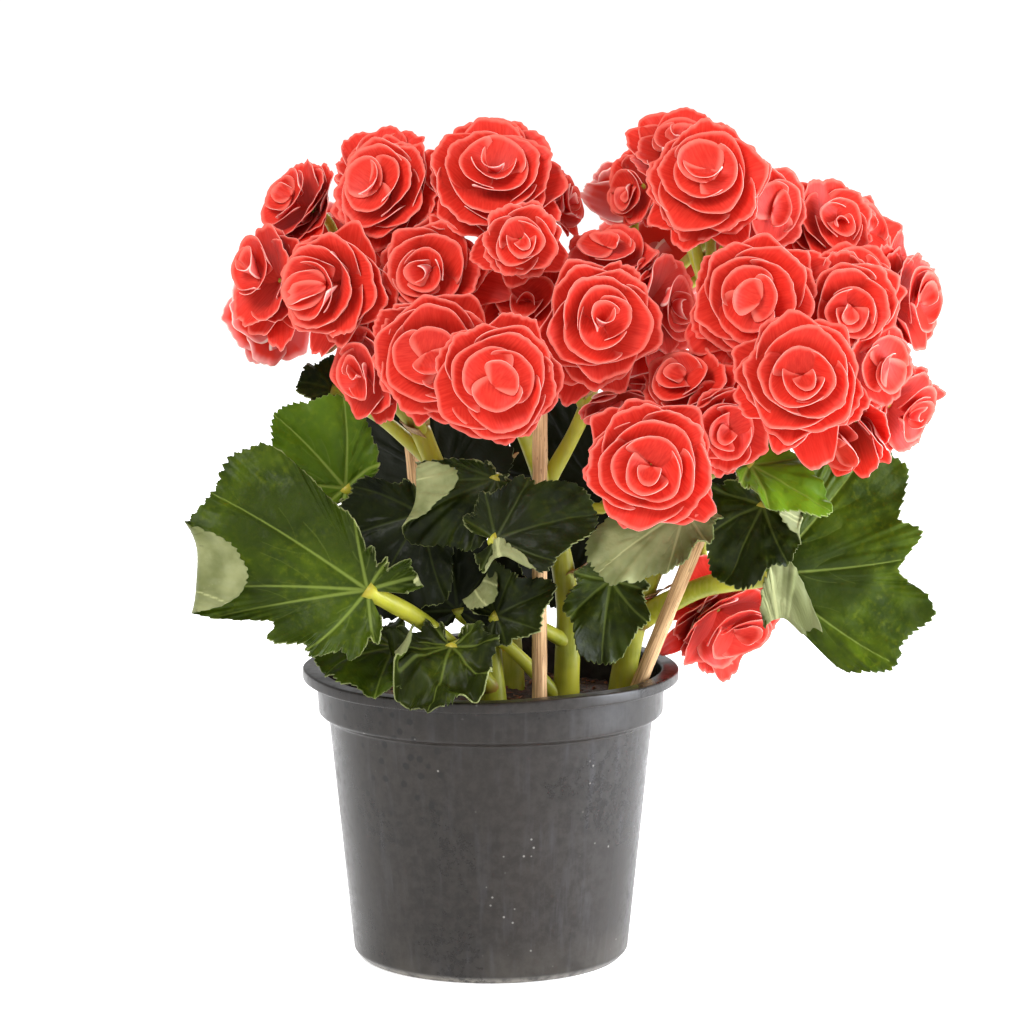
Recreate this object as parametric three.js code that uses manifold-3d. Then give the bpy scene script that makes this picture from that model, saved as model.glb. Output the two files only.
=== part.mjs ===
// A potted double begonia: a thin plastic nursery pot, its soil, three wooden stakes, four branching
// stems, asymmetric toothed leaves and coral double blooms.
// Millimetres, +Z up. The origin is the middle of the pot's underside. The front of the plant faces -Y.
import * as THREE from 'three';
import { mergeVertices } from 'three/addons/utils/BufferGeometryUtils.js';
import Module from 'manifold-3d';

const wasm = await Module();
wasm.setup();

// ---- driving dimensions ----

const GAP = 0.4; // clearance between pieces that meet
const SCRAP = 1; // a loose bit smaller than this, in cubic millimetres, is dropped
const WELD = 1e-3; // corners closer than this are one corner

const POT = {
  sides: 32,
  height: 110,
  wall: 1.5,
  floor: 2,
  footRadius: 48.3,
  cornerRadius: 3,
  cornerMiddle: [0.7, 0.3], // a point half way round the corner, as shares of its radius
  bodyTop: 60.4, // outer radius just under the ledge
  ledgeHeight: 91, // top of the tapering body
  collarRadius: 64.2,
  collarRise: 2, // the ledge slopes up this much
  collarFlare: 0.6, // the collar is this much wider at the lip
  lipRadius: 70,
  lipHeight: 4.5,
  lipRound: 1,
  lipInside: 0.5, // the lip's inner edge, in from the collar's radius
  holes: 6, // drain holes
  holeRadius: 4.5,
  holeCircle: 35,
  holeSides: 8,
};

const SOIL = {
  sides: 16,
  height: 95, // at the pot's wall
  mound: 2, // how much higher it is in the middle
  ring: 0.6, // the mound levels off from this share of the radius
  lump: 0.9,
  holeSides: 8,
  holeTop: 110, // the holes are cut up to here, clear of the surface
  rootRoom: 1.2, // a stem's hole for each millimetre of its radius
};

const STAKE_RADIUS = 2.75;
const STAKE_SIDES = 8;
const STAKES = [
  { name: 'stake_front', foot: [18.3, -40, 14], top: [18.1, -40, 219] },
  { name: 'stake_right', foot: [28, -20, 38], top: [77.5, -20, 163.5] },
  { name: 'stake_left', foot: [-11, 28, 14], top: [-30, 28, 190] },
];

const STALK = {
  stemSides: 6,
  leafSides: 4,
  leafSteps: 3,
  leafRadius: 2.2,
  leafSeat: 6, // a leaf's stalk is first drawn this far under the blade's base,
  seatSteps: 5, // then closes up to it in this many steps
  bloomSides: 3,
  bloomSteps: 2,
  bloomRadius: 1.7,
  leafBow: [0.55, 0.06], // a leaf's stalk bows up at this share of its length, by this share
  neck: 7, // the last stretch of a bloom's stalk is in line with the bloom
  firstShare: 0.45, // bloom stalks leave the limb from here to the last share, evenly spaced
  lastShare: 0.98,
  rootFlare: 1.25, // a stalk is thicker where it leaves the limb
};

// Each stem rises from a foot in the soil through its limbs. A limb is a run of points with a radius at
// its root and at its tip. The first limb stands in the soil, and each of the others grows from one
// before it.
const STEMS = [
  {
    name: 'stem_left',
    limbs: [
      { points: [[2, -20, 62], [1, -20, 100], [-6, -16, 150], [-26, -8, 200]], root: 5.5, tip: 3.4 },
      { points: [[-26, -8, 200], [-44, -6, 222], [-56, -6, 244]], root: 3.2, tip: 2.4 },
      { points: [[-26, -8, 200], [-24, 8, 232], [-24, 6, 268]], root: 3, tip: 2.2 },
    ],
  },
  {
    name: 'stem_front',
    limbs: [
      { points: [[28, -14, 62], [28, -16, 100], [28, -16, 140], [20, -18, 180]], root: 5.5, tip: 3.6 },
      { points: [[20, -18, 180], [14, -26, 196], [8, -34, 212]], root: 3.2, tip: 2.6 },
      { points: [[20, -18, 180], [12, -6, 225], [8, 0, 266]], root: 3.2, tip: 2.2 },
      { points: [[20, -18, 180], [34, -24, 208], [42, -22, 236]], root: 3, tip: 2.4 },
    ],
  },
  {
    name: 'stem_right',
    limbs: [
      { points: [[48, 4, 62], [49, 6, 100], [58, 4, 140], [78, -6, 185]], root: 5.5, tip: 3.6 },
      { points: [[78, -6, 185], [82, -10, 225], [80, -12, 266]], root: 3.2, tip: 2.4 },
      { points: [[78, -6, 185], [108, -14, 212], [124, -18, 244]], root: 3.2, tip: 2.4 },
      { points: [[78, -6, 185], [74, -28, 192], [73, -42, 200]], root: 3, tip: 2.4 },
      { points: [[108, -14, 212], [122, -30, 210], [128, -38, 214]], root: 2.8, tip: 2.4 },
    ],
  },
  {
    name: 'stem_back',
    limbs: [
      { points: [[8, 24, 62], [8, 26, 100], [4, 34, 150], [0, 40, 190]], root: 5, tip: 3.4 },
      { points: [[0, 40, 190], [-34, 40, 222], [-46, 36, 246]], root: 3, tip: 2.2 },
      { points: [[0, 40, 190], [36, 42, 218], [62, 36, 246]], root: 3, tip: 2.2 },
    ],
  },
];

// Blooms. `at` is the middle of the outer petals and `size` their length from there. `face` is where the
// bloom looks: degrees to the right of the front, then degrees up. `tiers` is how many whorls of petals,
// and `cup` how closed the bloom is, from 0, flat, to 1, a cup. `stem` and `limb` are what its stalk
// leaves. Blooms of one name grow pressed together and are one piece.
const BLOOMS = [
  ['bloom_left_01', [1, -42, 297], 24, [0, 38], 4, 0.3, 'stem_front', 2],
  ['bloom_left_01', [3, -24, 304], 19, [5, 55], 3, 0.3, 'stem_front', 2],
  ['bloom_left_02', [27, -20, 284], 14, [70, 15], 2, 0.9, 'stem_front', 2],
  ['bloom_left_03', [11, -62, 276], 14.5, [0, 12], 3, 0.9, 'stem_front', 2],
  ['bloom_left_04', [-39.5, -32, 291], 20.5, [-32, 22], 4, 0.5, 'stem_left', 2],
  ['bloom_left_04', [-42, -10, 298], 17, [-20, 58], 3, 0.5, 'stem_left', 2],
  ['bloom_left_05', [-72, 2, 284], 18, [-60, 32], 3, 0.5, 'stem_left', 1],
  ['bloom_left_06', [-58, -46, 258], 21.5, [-32, 5], 4, 0.5, 'stem_left', 1],
  ['bloom_left_07', [-84, -16, 257], 20, [-55, 12], 3, 0.4, 'stem_left', 1],
  ['bloom_left_08', [-86, 18, 236], 20, [-140, -12], 3, 0.3, 'stem_left', 1],
  ['bloom_left_09', [-21, -50, 264], 19, [-8, 10], 4, 0.4, 'stem_left', 2],
  ['bloom_left_10', [-46, -44, 225], 19, [-52, -5], 3, 0.4, 'stem_left', 0],
  ['bloom_middle_01', [-20, -68, 235], 23, [-8, 0], 4, 0.3, 'stem_front', 1],
  ['bloom_middle_02', [3, -90, 229], 23, [0, 5], 4, 0.3, 'stem_front', 1],
  ['bloom_middle_03', [14, -42, 251], 20.5, [-20, 30], 3, 0.5, 'stem_front', 3],
  ['bloom_middle_04', [40, -74, 247], 22.5, [12, 5], 4, 0.5, 'stem_front', 3],
  ['bloom_middle_05', [43, -38, 268], 17.5, [-10, 62], 3, 0.7, 'stem_front', 3],
  ['bloom_middle_06', [64, -42, 250], 20, [58, 5], 3, 0.4, 'stem_front', 3],
  ['bloom_middle_07', [46, -46, 213], 15.5, [20, -60], 2, 0.5, 'stem_front', 3],
  ['bloom_right_01', [78, -48, 296], 22, [-4, 22], 4, 0.4, 'stem_right', 1],
  ['bloom_right_01', [69, -29, 305], 18.5, [-10, 58], 3, 0.4, 'stem_right', 1],
  ['bloom_right_02', [49, -1, 291], 16, [-50, 5], 3, 0.4, 'stem_right', 1],
  ['bloom_right_03', [101, -30, 283], 18, [30, 5], 3, 0.5, 'stem_right', 1],
  ['bloom_right_04', [126, -12, 277.5], 17.5, [30, 26], 3, 0.5, 'stem_right', 2],
  ['bloom_right_04', [138, 2, 271], 16, [55, 30], 2, 0.4, 'stem_right', 2],
  ['bloom_right_05', [94, -70, 256], 22, [0, 5], 4, 0.3, 'stem_right', 1],
  ['bloom_right_06', [129, -62, 252], 18.5, [8, 5], 4, 0.4, 'stem_right', 2],
  ['bloom_right_06', [132, -46, 262], 15, [10, 45], 2, 0.4, 'stem_right', 2],
  ['bloom_right_06', [139, -61, 231], 16, [36, 5], 3, 0.4, 'stem_right', 4],
  ['bloom_right_07', [110, -92, 231], 22.5, [0, 20], 4, 0.4, 'stem_right', 4],
  ['bloom_right_08', [155, -20, 248], 20, [60, 5], 3, 0.4, 'stem_right', 2],
  ['bloom_right_09', [126, -66, 206], 19, [-45, -35], 3, 0.5, 'stem_right', 4],
  ['bloom_right_10', [151, -34, 209], 18.5, [52, -20], 3, 0.4, 'stem_right', 4],
  ['bloom_low_01', [57, -98, 200], 23.5, [0, 5], 4, 0.3, 'stem_right', 3],
  ['bloom_low_02', [70, -68, 226], 17, [-25, 45], 3, 0.6, 'stem_right', 3],
  ['bloom_low_02', [85, -76, 210], 17, [16, 0], 3, 0.5, 'stem_right', 3],
  ['bloom_low_03', [90, 14, 121], 22.5, [35, -38], 3, 0.5, 'stem_right', 0],
  ['bloom_back_01', [-60, 46, 262], 21, [-150, 25], 3, 0.4, 'stem_back', 1],
  ['bloom_back_01', [-32, 54, 248], 21, [180, 5], 3, 0.4, 'stem_back', 1],
  ['bloom_back_02', [-26, 26, 286], 21, [-165, 55], 3, 0.4, 'stem_back', 1],
  ['bloom_back_02', [6, 30, 284], 20, [175, 50], 2, 0.4, 'stem_back', 1],
  ['bloom_back_03', [60, 54, 256], 22, [170, 15], 3, 0.4, 'stem_back', 2],
  ['bloom_back_03', [92, 40, 262], 21, [145, 22], 3, 0.4, 'stem_back', 2],
  ['bloom_back_04', [54, 24, 286], 20, [175, 52], 3, 0.4, 'stem_back', 2],
  ['bloom_back_04', [88, 12, 288], 19, [150, 58], 2, 0.4, 'stem_back', 2],
].map(([name, at, size, face, tiers, cup, stem, limb]) => (
  { name, at, size, face, tiers, cup, stem, limb }));

// The form of a bloom. Radii and heights are shares of its size.
const ROSETTE = {
  petals: 5, // to a whorl
  steps: 3, // sides to each petal
  backHeight: -0.5,
  collar: [0.22, -0.44], // where the outer petals leave the back: radius, height
  throatHeight: 0.3,
  taper: 0.84, // how much the whorls narrow by, in all
  hollow: 1.08, // the hollows lie inside their lips by this, shared among the whorls
  lipHeight: [-0.06, 0.44], // of the outer petals and of the throat
  hollowHeight: [0.02, 0.38],
  cupHeight: 0.22, // how much a closed bloom lifts its outer petals
  notch: 0.86, // the edge is drawn in here between petals
  notchDrop: 0.03,
  uneven: 0.05, // petals differ in length
  lift: 0.07, // and their edges rise and fall
};

// Leaves. `at` is where the blade joins its stalk, `tip` the end of the midrib and `face` where the upper
// side looks. `lobes` are the blade's lengths as shares of the midrib, from its left edge round to its
// right. `cup` lifts the rim and `droop` bends the tip down, as shares of the midrib. `teeth` is how many
// the edge has. The stalk leaves the first limb of a stem at a share of the limb's length.
const HEART = [0.55, 0.75, 0.86, 0.92, 1, 0.95, 0.88, 0.7, 0.5];
const BIG_LEFT = [
  0.24, 0.3, 0.38, 0.42, 0.5, 0.62, 0.85, 1.02, 1.03, 0.98, 0.45, 0.25, 0.2, 0.2, 0.28, 0.36, 0.3];
const BIG_RIGHT = [
  0.12, 0.15, 0.2, 0.28, 0.35, 0.42, 0.68, 0.95, 1.15, 0.98, 0.95, 1.1, 1.05, 0.8, 0.38, 0.15, 0.12];
const NARROW = [0.3, 0.38, 0.46, 0.7, 1, 0.7, 0.46, 0.38, 0.3];
const BROAD = [0.2, 0.42, 0.62, 0.8, 1, 0.8, 0.62, 0.42, 0.2];
const FAN = [0.15, 0.2, 0.35, 0.8, 1.02, 0.93, 0.55, 0.2, 0.15];
const HANGING = [0.2, 0.3, 0.5, 0.9, 1.05, 1, 0.72, 0.4, 0.2];
const SWEPT = [0.15, 0.2, 0.3, 0.6, 1, 1.35, 0.75, 0.3, 0.2];
const LIFTED = [0.3, 0.6, 0.9, 0.7, 1, 0.85, 0.6, 0.4, 0.3];
const LEAVES = [
  ['leaf_left_01', [-44, -64, 149.5], [-99, -60, 187.5], [-8, 18], BIG_LEFT, 0.1, 0.1, 12, 'stem_left', 0.3],
  ['leaf_left_02', [-53, -28, 181], [-76, -32, 209.5], [-10, 25], FAN, 0.12, 0.1, 9, 'stem_left', 0.75],
  ['leaf_left_03', [-25, -37, 173], [-44, -43, 143.5], [-5, 15], HANGING, 0.1, 0.15, 8, 'stem_left', 0.6],
  ['leaf_left_04', [-59, 10, 212], [-81, 4, 222], [-20, 40], HEART, 0.1, 0.1, 6, 'stem_left', 0.9],
  ['leaf_left_05', [-35, -42, 124.5], [-61, -60, 123], [-10, 55], HEART, -0.05, 0.16, 8, 'stem_left', 0.35],
  ['leaf_front_01', [-14, -54, 127], [-22.5, -84, 114], [-10, 55], BROAD, 0.1, 0.3, 7, 'stem_left', 0.4],
  ['leaf_front_02', [2, -50, 188], [-9.5, -58, 164.5], [0, 35], SWEPT, 0.1, 0.15, 9, 'stem_left', 0.65],
  ['leaf_front_03', [2, -63, 168], [36, -67, 181], [0, 30], NARROW, 0.12, 0.1, 8, 'stem_front', 0.85],
  ['leaf_front_04', [2, -47, 137], [20, -54, 149.5], [-10, 30], LIFTED, 0.12, 0.2, 7, 'stem_front', 0.5],
  ['leaf_front_05', [44, -34, 148], [39, -44, 118], [5, 15], NARROW, 0.1, 0.1, 8, 'stem_front', 0.6],
  ['leaf_middle_01', [-12, -33, 136.5], [-15, -31, 162.5], [0, 5], BROAD, 0.1, 0.1, 8, 'stem_front', 0.3],
  ['leaf_right_01', [70, -60, 178], [40, -70, 162], [10, 45], NARROW, 0.12, 0.15, 8, 'stem_right', 0.9],
  ['leaf_right_02', [99, -40, 176.5], [87, -50, 154.5], [0, 45], BROAD, 0.14, 0.25, 8, 'stem_right', 0.85],
  ['leaf_right_03', [93.5, -56, 194], [120, -62, 181], [0, 60], NARROW, 0.1, 0.1, 7, 'stem_right', 0.95],
  ['leaf_right_04', [101, -28, 149], [138, -18, 187.5], [10, 12], BIG_RIGHT, 0.08, 0.08, 12, 'stem_right', 0.5],
  ['leaf_back_01', [-18, 42, 172], [-41, 48, 188], [-170, 30], HEART, 0.1, 0.1, 8, 'stem_back', 0.7],
  ['leaf_back_02', [44, 46, 164], [31, 50, 186], [170, 30], HEART, 0.1, 0.1, 8, 'stem_back', 0.75],
].map(([name, at, tip, face, lobes, cup, droop, teeth, stem, share]) => (
  { name, at, tip, face, lobes, cup, droop, teeth, stem, share }));
const BLADE = {
  thickness: 0.9,
  span: 300, // degrees that the lobes reach round the base
  midRing: 0.55, // the blade bends along a ring this far out
  toothDepth: 0.1,
  waves: 5, // round the edge
  wave: 0.055,
};

const COLOURS = {
  pot: { color: 0x3a3838, roughness: 0.45 },
  soil: { color: 0x3a2a1e, roughness: 0.95 },
  stake: { color: 0xc79a62, roughness: 0.7 },
  stem: { color: 0x8f9a45, roughness: 0.5 },
  leaf: { color: 0x3c6a22, roughness: 0.45 },
  bloom: { color: 0xf4473a, roughness: 0.55 },
};

// ---- small helpers ----

const vec = (p) => new THREE.Vector3(...p);
const radians = THREE.MathUtils.degToRad;

const SCATTER = { pitch: 12.9898, gain: 43758.5453 }; // any large uneven numbers serve

// A scattered number from 0 to 1 that is always the same for the same seed.
function draw(seed) {
  return THREE.MathUtils.euclideanModulo(Math.sin(seed * SCATTER.pitch) * SCATTER.gain, 1);
}

// The direction that looks `turn` degrees right of the front and `lift` degrees up.
function direction([turn, lift]) {
  const level = Math.cos(radians(lift));
  const [right, front] = [Math.sin(radians(turn)), Math.cos(radians(turn))];
  return new THREE.Vector3(right * level, -front * level, Math.sin(radians(lift)));
}

// Keeps only the places of the corners, joined where they meet.
function welded(geometry) {
  const bare = geometry.clone();
  bare.deleteAttribute('normal');
  bare.deleteAttribute('uv');
  return mergeVertices(bare, WELD);
}

function toSolid(geometry) {
  const merged = welded(geometry);
  return new wasm.Manifold(new wasm.Mesh({
    numProp: 3,
    vertProperties: merged.attributes.position.array,
    triVerts: new Uint32Array(merged.index.array),
  }));
}

function toGeometry(solid) {
  const mesh = solid.getMesh();
  const geometry = new THREE.BufferGeometry();
  geometry.setAttribute('position', new THREE.BufferAttribute(mesh.vertProperties, 3));
  geometry.setIndex(new THREE.BufferAttribute(mesh.triVerts, 1));
  return geometry;
}

// Joins pieces that all hold together. A hollow that this seals is filled, and a loose scrap is dropped.
function fuse(name, geometries) {
  const bodies = geometries.map(toSolid).reduce((whole, piece) => whole.add(piece)).decompose();
  const volumes = bodies.map((body) => body.volume());
  const largest = Math.max(...volumes);
  if (volumes.some((volume) => volume > SCRAP && volume < largest)) {
    throw new Error(`${name} falls apart`);
  }
  return toGeometry(bodies[volumes.indexOf(largest)]);
}

function cut(geometry, cutters) {
  const whole = toSolid(geometry);
  return toGeometry(cutters.map(toSolid).reduce((left, cutter) => left.subtract(cutter), whole));
}

function faceted(geometry) {
  const flat = geometry.index ? geometry.toNonIndexed() : geometry;
  flat.computeVertexNormals();
  return flat;
}

const plant = new THREE.Group();

function addPiece(name, geometry, kind) {
  const finish = new THREE.MeshStandardMaterial({ ...COLOURS[kind], metalness: 0 });
  const mesh = new THREE.Mesh(faceted(geometry), finish);
  mesh.name = name;
  plant.add(mesh);
}

// A straight round bar between two points.
function bar(from, to, radius, sides) {
  const axis = vec(to).sub(vec(from));
  const geometry = new THREE.CylinderGeometry(radius, radius, axis.length(), sides);
  const upright = new THREE.Vector3(0, 1, 0);
  geometry.applyQuaternion(new THREE.Quaternion().setFromUnitVectors(upright, axis.normalize()));
  const middle = vec(from).add(vec(to)).multiplyScalar(0.5);
  return geometry.translate(middle.x, middle.y, middle.z);
}

// A tapering stalk along a smooth curve through the points.
function stalk(points, root, tip, sides, steps) {
  const curve = new THREE.CatmullRomCurve3(points.map(vec), false, 'centripetal');
  const frames = curve.computeFrenetFrames(steps, false);
  const geometry = new THREE.CylinderGeometry(1, 1, 1, sides, steps);
  const place = geometry.attributes.position;
  for (let i = 0; i < place.count; i += 1) {
    const along = place.getY(i) + 0.5;
    const step = Math.round(along * steps);
    const radius = THREE.MathUtils.lerp(root, tip, along);
    const point = curve.getPointAt(along)
      .addScaledVector(frames.normals[step], place.getX(i) * radius)
      .addScaledVector(frames.binormals[step], -place.getZ(i) * radius);
    place.setXYZ(i, point.x, point.y, point.z);
  }
  return geometry;
}

// Turned about the pot's axis, which is +Z.
function turned(profile, sides) {
  const outline = profile.map(([radius, height]) => new THREE.Vector2(radius, height));
  return new THREE.LatheGeometry(outline, sides).rotateX(Math.PI / 2);
}

// ---- pot and soil ----

// The inside of the pot's wall from the floor up, moved in and up by a clearance.
function potInside(clearance) {
  const { floor, wall, footRadius, cornerRadius, bodyTop, ledgeHeight, collarRise, collarRadius } = POT;
  return [
    [footRadius + cornerRadius / 2 - wall - clearance, floor + clearance],
    [footRadius + cornerRadius - wall - clearance, floor + cornerRadius / 2 + clearance],
    [bodyTop - wall - clearance, ledgeHeight + clearance / 2],
    [collarRadius - wall - clearance, ledgeHeight + collarRise + clearance / 2],
  ];
}

function makePot() {
  const { height, wall, footRadius, cornerRadius, cornerMiddle, bodyTop, ledgeHeight } = POT;
  const { collarRise, collarRadius, collarFlare, lipRadius, lipHeight, lipRound, lipInside, floor } = POT;
  const outside = [
    [0, 0],
    [footRadius, 0],
    [footRadius + cornerRadius * cornerMiddle[0], cornerRadius * cornerMiddle[1]],
    [footRadius + cornerRadius, cornerRadius],
    [bodyTop, ledgeHeight],
    [collarRadius, ledgeHeight + collarRise],
    [collarRadius + collarFlare, height - lipHeight],
    [lipRadius - lipRound, height - lipHeight],
    [lipRadius, height - lipHeight + lipRound],
    [lipRadius, height - lipRound],
    [lipRadius - lipRound, height],
    [collarRadius - lipInside, height],
    [collarRadius + collarFlare - wall, height - lipRound * 2],
  ];
  const pot = turned([...outside, ...potInside(0).reverse(), [0, floor]], POT.sides);
  const holes = [];
  for (let i = 0; i < POT.holes; i += 1) {
    const angle = (i / POT.holes) * Math.PI * 2;
    const [x, y] = [POT.holeCircle * Math.cos(angle), POT.holeCircle * Math.sin(angle)];
    holes.push(bar([x, y, -floor], [x, y, floor * 2], POT.holeRadius, POT.holeSides));
  }
  addPiece('pot', cut(pot, holes), 'pot');
}

// A round hole from a foot in the soil out through its surface.
function soilHole(foot, towards, radius) {
  const axis = vec(towards).sub(vec(foot)).normalize();
  const bottom = vec(foot).addScaledVector(axis, -GAP);
  const top = vec(foot).addScaledVector(axis, (SOIL.holeTop - foot[2]) / axis.z);
  return bar(bottom.toArray(), top.toArray(), radius, SOIL.holeSides);
}

function makeSoil() {
  const inside = potInside(GAP);
  const rim = inside[3][0];
  const { height, mound, ring, lump, rootRoom } = SOIL;
  const surface = [[rim, height], [rim * ring, height + mound * ring], [0, height + mound]];
  const soil = welded(turned([[0, POT.floor + GAP], ...inside, ...surface], SOIL.sides));
  const place = soil.attributes.position;
  for (let i = 0; i < place.count; i += 1) {
    if (place.getZ(i) > height + WELD) {
      place.setZ(i, place.getZ(i) + lump * (draw(i) * 2 - 1));
    }
  }
  const stakeHoles = STAKES.map(({ foot, top }) => soilHole(foot, top, STAKE_RADIUS + GAP));
  const stemHoles = STEMS.map(({ limbs: [{ points, root }] }) => (
    soilHole(points[0], points[1], root * rootRoom + GAP)));
  addPiece('soil', cut(soil, [...stakeHoles, ...stemHoles]), 'soil');
}

function makeStakes() {
  STAKES.forEach(({ name, foot, top }) => {
    addPiece(name, bar(foot, top, STAKE_RADIUS, STAKE_SIDES), 'stake');
  });
}

// ---- blooms ----

// The middle of the bloom's back, where its stalk ends.
function bloomBack({ at, face, size }) {
  return vec(at).addScaledVector(direction(face), -0.5 * size);
}

// The outline from the back, over the lips and hollows of the whorls, to the throat.
function rosetteProfile({ tiers, cup }) {
  const { backHeight, collar, throatHeight, taper, hollow, lipHeight, hollowHeight, cupHeight } = ROSETTE;
  const profile = [[0, backHeight], collar];
  for (let tier = 0; tier < tiers; tier += 1) {
    const rise = tier / tiers;
    const lip = 1 - (taper * tier) / tiers;
    const lifted = cup * cupHeight * (1 - rise);
    profile.push([lip, THREE.MathUtils.lerp(...lipHeight, rise) + lifted]);
    if (tier < tiers - 1) {
      profile.push([lip - hollow / tiers, THREE.MathUtils.lerp(...hollowHeight, rise)]);
    }
  }
  return [...profile, [0, throatHeight]];
}

// Whorls of petals, each a lip that stands out over the hollow inside it. The whorls narrow and rise
// towards the throat, and each is turned a little from the one outside it.
function makeRosette(bloom, seed) {
  const { at, face, size } = bloom;
  const outline = rosetteProfile(bloom).map(([radius, height]) => [radius * size, height * size]);
  const rosette = welded(turned(outline, ROSETTE.petals * ROSETTE.steps));
  shapePetals(rosette.attributes.position, bloom, seed);
  const turn = new THREE.Quaternion().setFromUnitVectors(new THREE.Vector3(0, 0, 1), direction(face));
  return rosette.applyQuaternion(turn).translate(...at);
}

// Draws the lips in between petals, and makes each petal's edge a little longer or higher than the next.
function shapePetals(place, { size, tiers }, seed) {
  const { petals, steps, taper, notch, notchDrop, uneven, lift } = ROSETTE;
  const sides = petals * steps;
  for (let i = 0; i < place.count; i += 1) {
    const point = new THREE.Vector3().fromBufferAttribute(place, i);
    const radius = Math.hypot(point.x, point.y) / size;
    const tier = Math.round(((1 - radius) * tiers) / taper);
    const lip = 1 - (taper * tier) / tiers;
    if (tier >= tiers || Math.abs(radius - lip) > WELD) {
      continue;
    }
    const side = Math.round((Math.atan2(point.y, point.x) / (Math.PI * 2)) * sides) + sides + tier;
    const petal = Math.floor(side / steps) % petals;
    const between = side % steps === 0;
    const grow = between ? notch : 1 + uneven * (draw(seed * 31 + tier * 7 + petal) - 0.5);
    const rise = between ? -notchDrop : lift * (draw(seed * 17 + tier * 5 + petal) - 0.3);
    place.setXYZ(i, point.x * grow, point.y * grow, point.z + rise * size);
  }
}

function makeBlooms() {
  const names = [...new Set(BLOOMS.map(({ name }) => name))];
  names.forEach((name) => {
    const heads = [];
    BLOOMS.forEach((bloom, seed) => {
      if (bloom.name === name) {
        heads.push(makeRosette(bloom, seed));
      }
    });
    addPiece(name, heads.length > 1 ? fuse(name, heads) : heads[0], 'bloom');
  });
}

// ---- leaves ----

// A length of the blade at an angle, by joining its lobes smoothly.
function bladeLength(lobes, share) {
  const place = share * (lobes.length - 1);
  const low = Math.min(Math.floor(place), lobes.length - 2);
  const blend = (1 - Math.cos((place - low) * Math.PI)) / 2;
  return THREE.MathUtils.lerp(lobes[low], lobes[low + 1], blend);
}

// The corners of one side of a blade: its base, a ring half way out and then the toothed edge.
function bladeCorners({ at, tip, face, lobes, cup, droop, teeth }, seed) {
  const midrib = vec(tip).sub(vec(at));
  const length = midrib.length();
  const along = midrib.clone().normalize();
  const up = direction(face).addScaledVector(along, -direction(face).dot(along)).normalize();
  const across = new THREE.Vector3().crossVectors(up, along);
  const corners = [vec(at)];
  [[BLADE.midRing, teeth], [1, teeth * 2]].forEach(([ring, steps]) => {
    for (let i = 0; i <= steps; i += 1) {
      const share = i / steps;
      const angle = radians(BLADE.span * (0.5 - share));
      const notch = ring === 1 && i % 2 === 0 ? 1 - BLADE.toothDepth : 1;
      const reach = length * ring * notch * bladeLength(lobes, share);
      const forward = Math.cos(angle) * reach;
      const rim = ring * ring;
      const ripple = Math.sin(share * Math.PI * 2 * BLADE.waves + seed) * BLADE.wave * rim;
      const bend = droop * (Math.max(forward, 0) / length) ** 2;
      const height = length * (cup * rim * Math.sin(angle) ** 2 + ripple - bend);
      corners.push(vec(at).addScaledVector(along, forward)
        .addScaledVector(across, Math.sin(angle) * reach).addScaledVector(up, height));
    }
  });
  return corners;
}

// The same triangles above and below, and a band round the edge.
function makeLeaf(leaf, seed) {
  const { teeth } = leaf;
  const upper = bladeCorners(leaf, seed);
  const mid = (i) => 1 + i;
  const edge = (i) => 2 + teeth + i;
  const faces = [];
  for (let i = 0; i < teeth; i += 1) {
    faces.push([0, mid(i + 1), mid(i)]);
    faces.push([mid(i), edge(2 * i + 1), edge(2 * i)]);
    faces.push([mid(i), mid(i + 1), edge(2 * i + 1)]);
    faces.push([mid(i + 1), edge(2 * i + 2), edge(2 * i + 1)]);
  }
  const sheet = new THREE.BufferGeometry().setFromPoints(upper);
  sheet.setIndex(faces.flat());
  sheet.computeVertexNormals();
  const { normal } = sheet.attributes;
  const lower = upper.map((point, i) => point.clone()
    .addScaledVector(new THREE.Vector3().fromBufferAttribute(normal, i), -BLADE.thickness));
  const count = upper.length;
  const index = faces.flat();
  faces.forEach(([a, b, c]) => index.push(a + count, c + count, b + count));
  const rim = [0, mid(0)];
  for (let i = 0; i <= teeth * 2; i += 1) {
    rim.push(edge(i));
  }
  rim.push(mid(teeth));
  rim.forEach((from, i) => {
    const to = rim[(i + 1) % rim.length];
    index.push(from, to, to + count, from, to + count, from + count);
  });
  const blade = new THREE.BufferGeometry().setFromPoints([...upper, ...lower]);
  blade.setIndex(index);
  return blade;
}

function makeLeaves() {
  LEAVES.forEach((leaf, seed) => addPiece(leaf.name, makeLeaf(leaf, seed), 'leaf'));
}

// ---- stems ----

function pointOnLimb(stem, limb, share) {
  const { points } = STEMS.find(({ name }) => name === stem).limbs[limb];
  return new THREE.CatmullRomCurve3(points.map(vec), false, 'centripetal').getPointAt(share);
}

// Where a bloom's stalk leaves its limb: the limb's blooms follow one another towards its tip.
function bloomRoot(bloom) {
  const mates = BLOOMS.filter(({ stem, limb }) => stem === bloom.stem && limb === bloom.limb);
  const place = (mates.indexOf(bloom) + 1) / mates.length;
  const share = THREE.MathUtils.lerp(STALK.firstShare, STALK.lastShare, place);
  return pointOnLimb(bloom.stem, bloom.limb, share);
}

// The stalk of a bloom comes up behind it, and ends just short of its back.
function bloomStalk(bloom) {
  const back = bloomBack(bloom);
  const face = direction(bloom.face);
  const neck = back.clone().addScaledVector(face, -STALK.neck);
  const end = back.clone().addScaledVector(face, -GAP);
  const points = [bloomRoot(bloom), neck, end].map((point) => point.toArray());
  const { bloomRadius, rootFlare, bloomSides, bloomSteps } = STALK;
  return stalk(points, bloomRadius * rootFlare, bloomRadius, bloomSides, bloomSteps);
}

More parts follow.
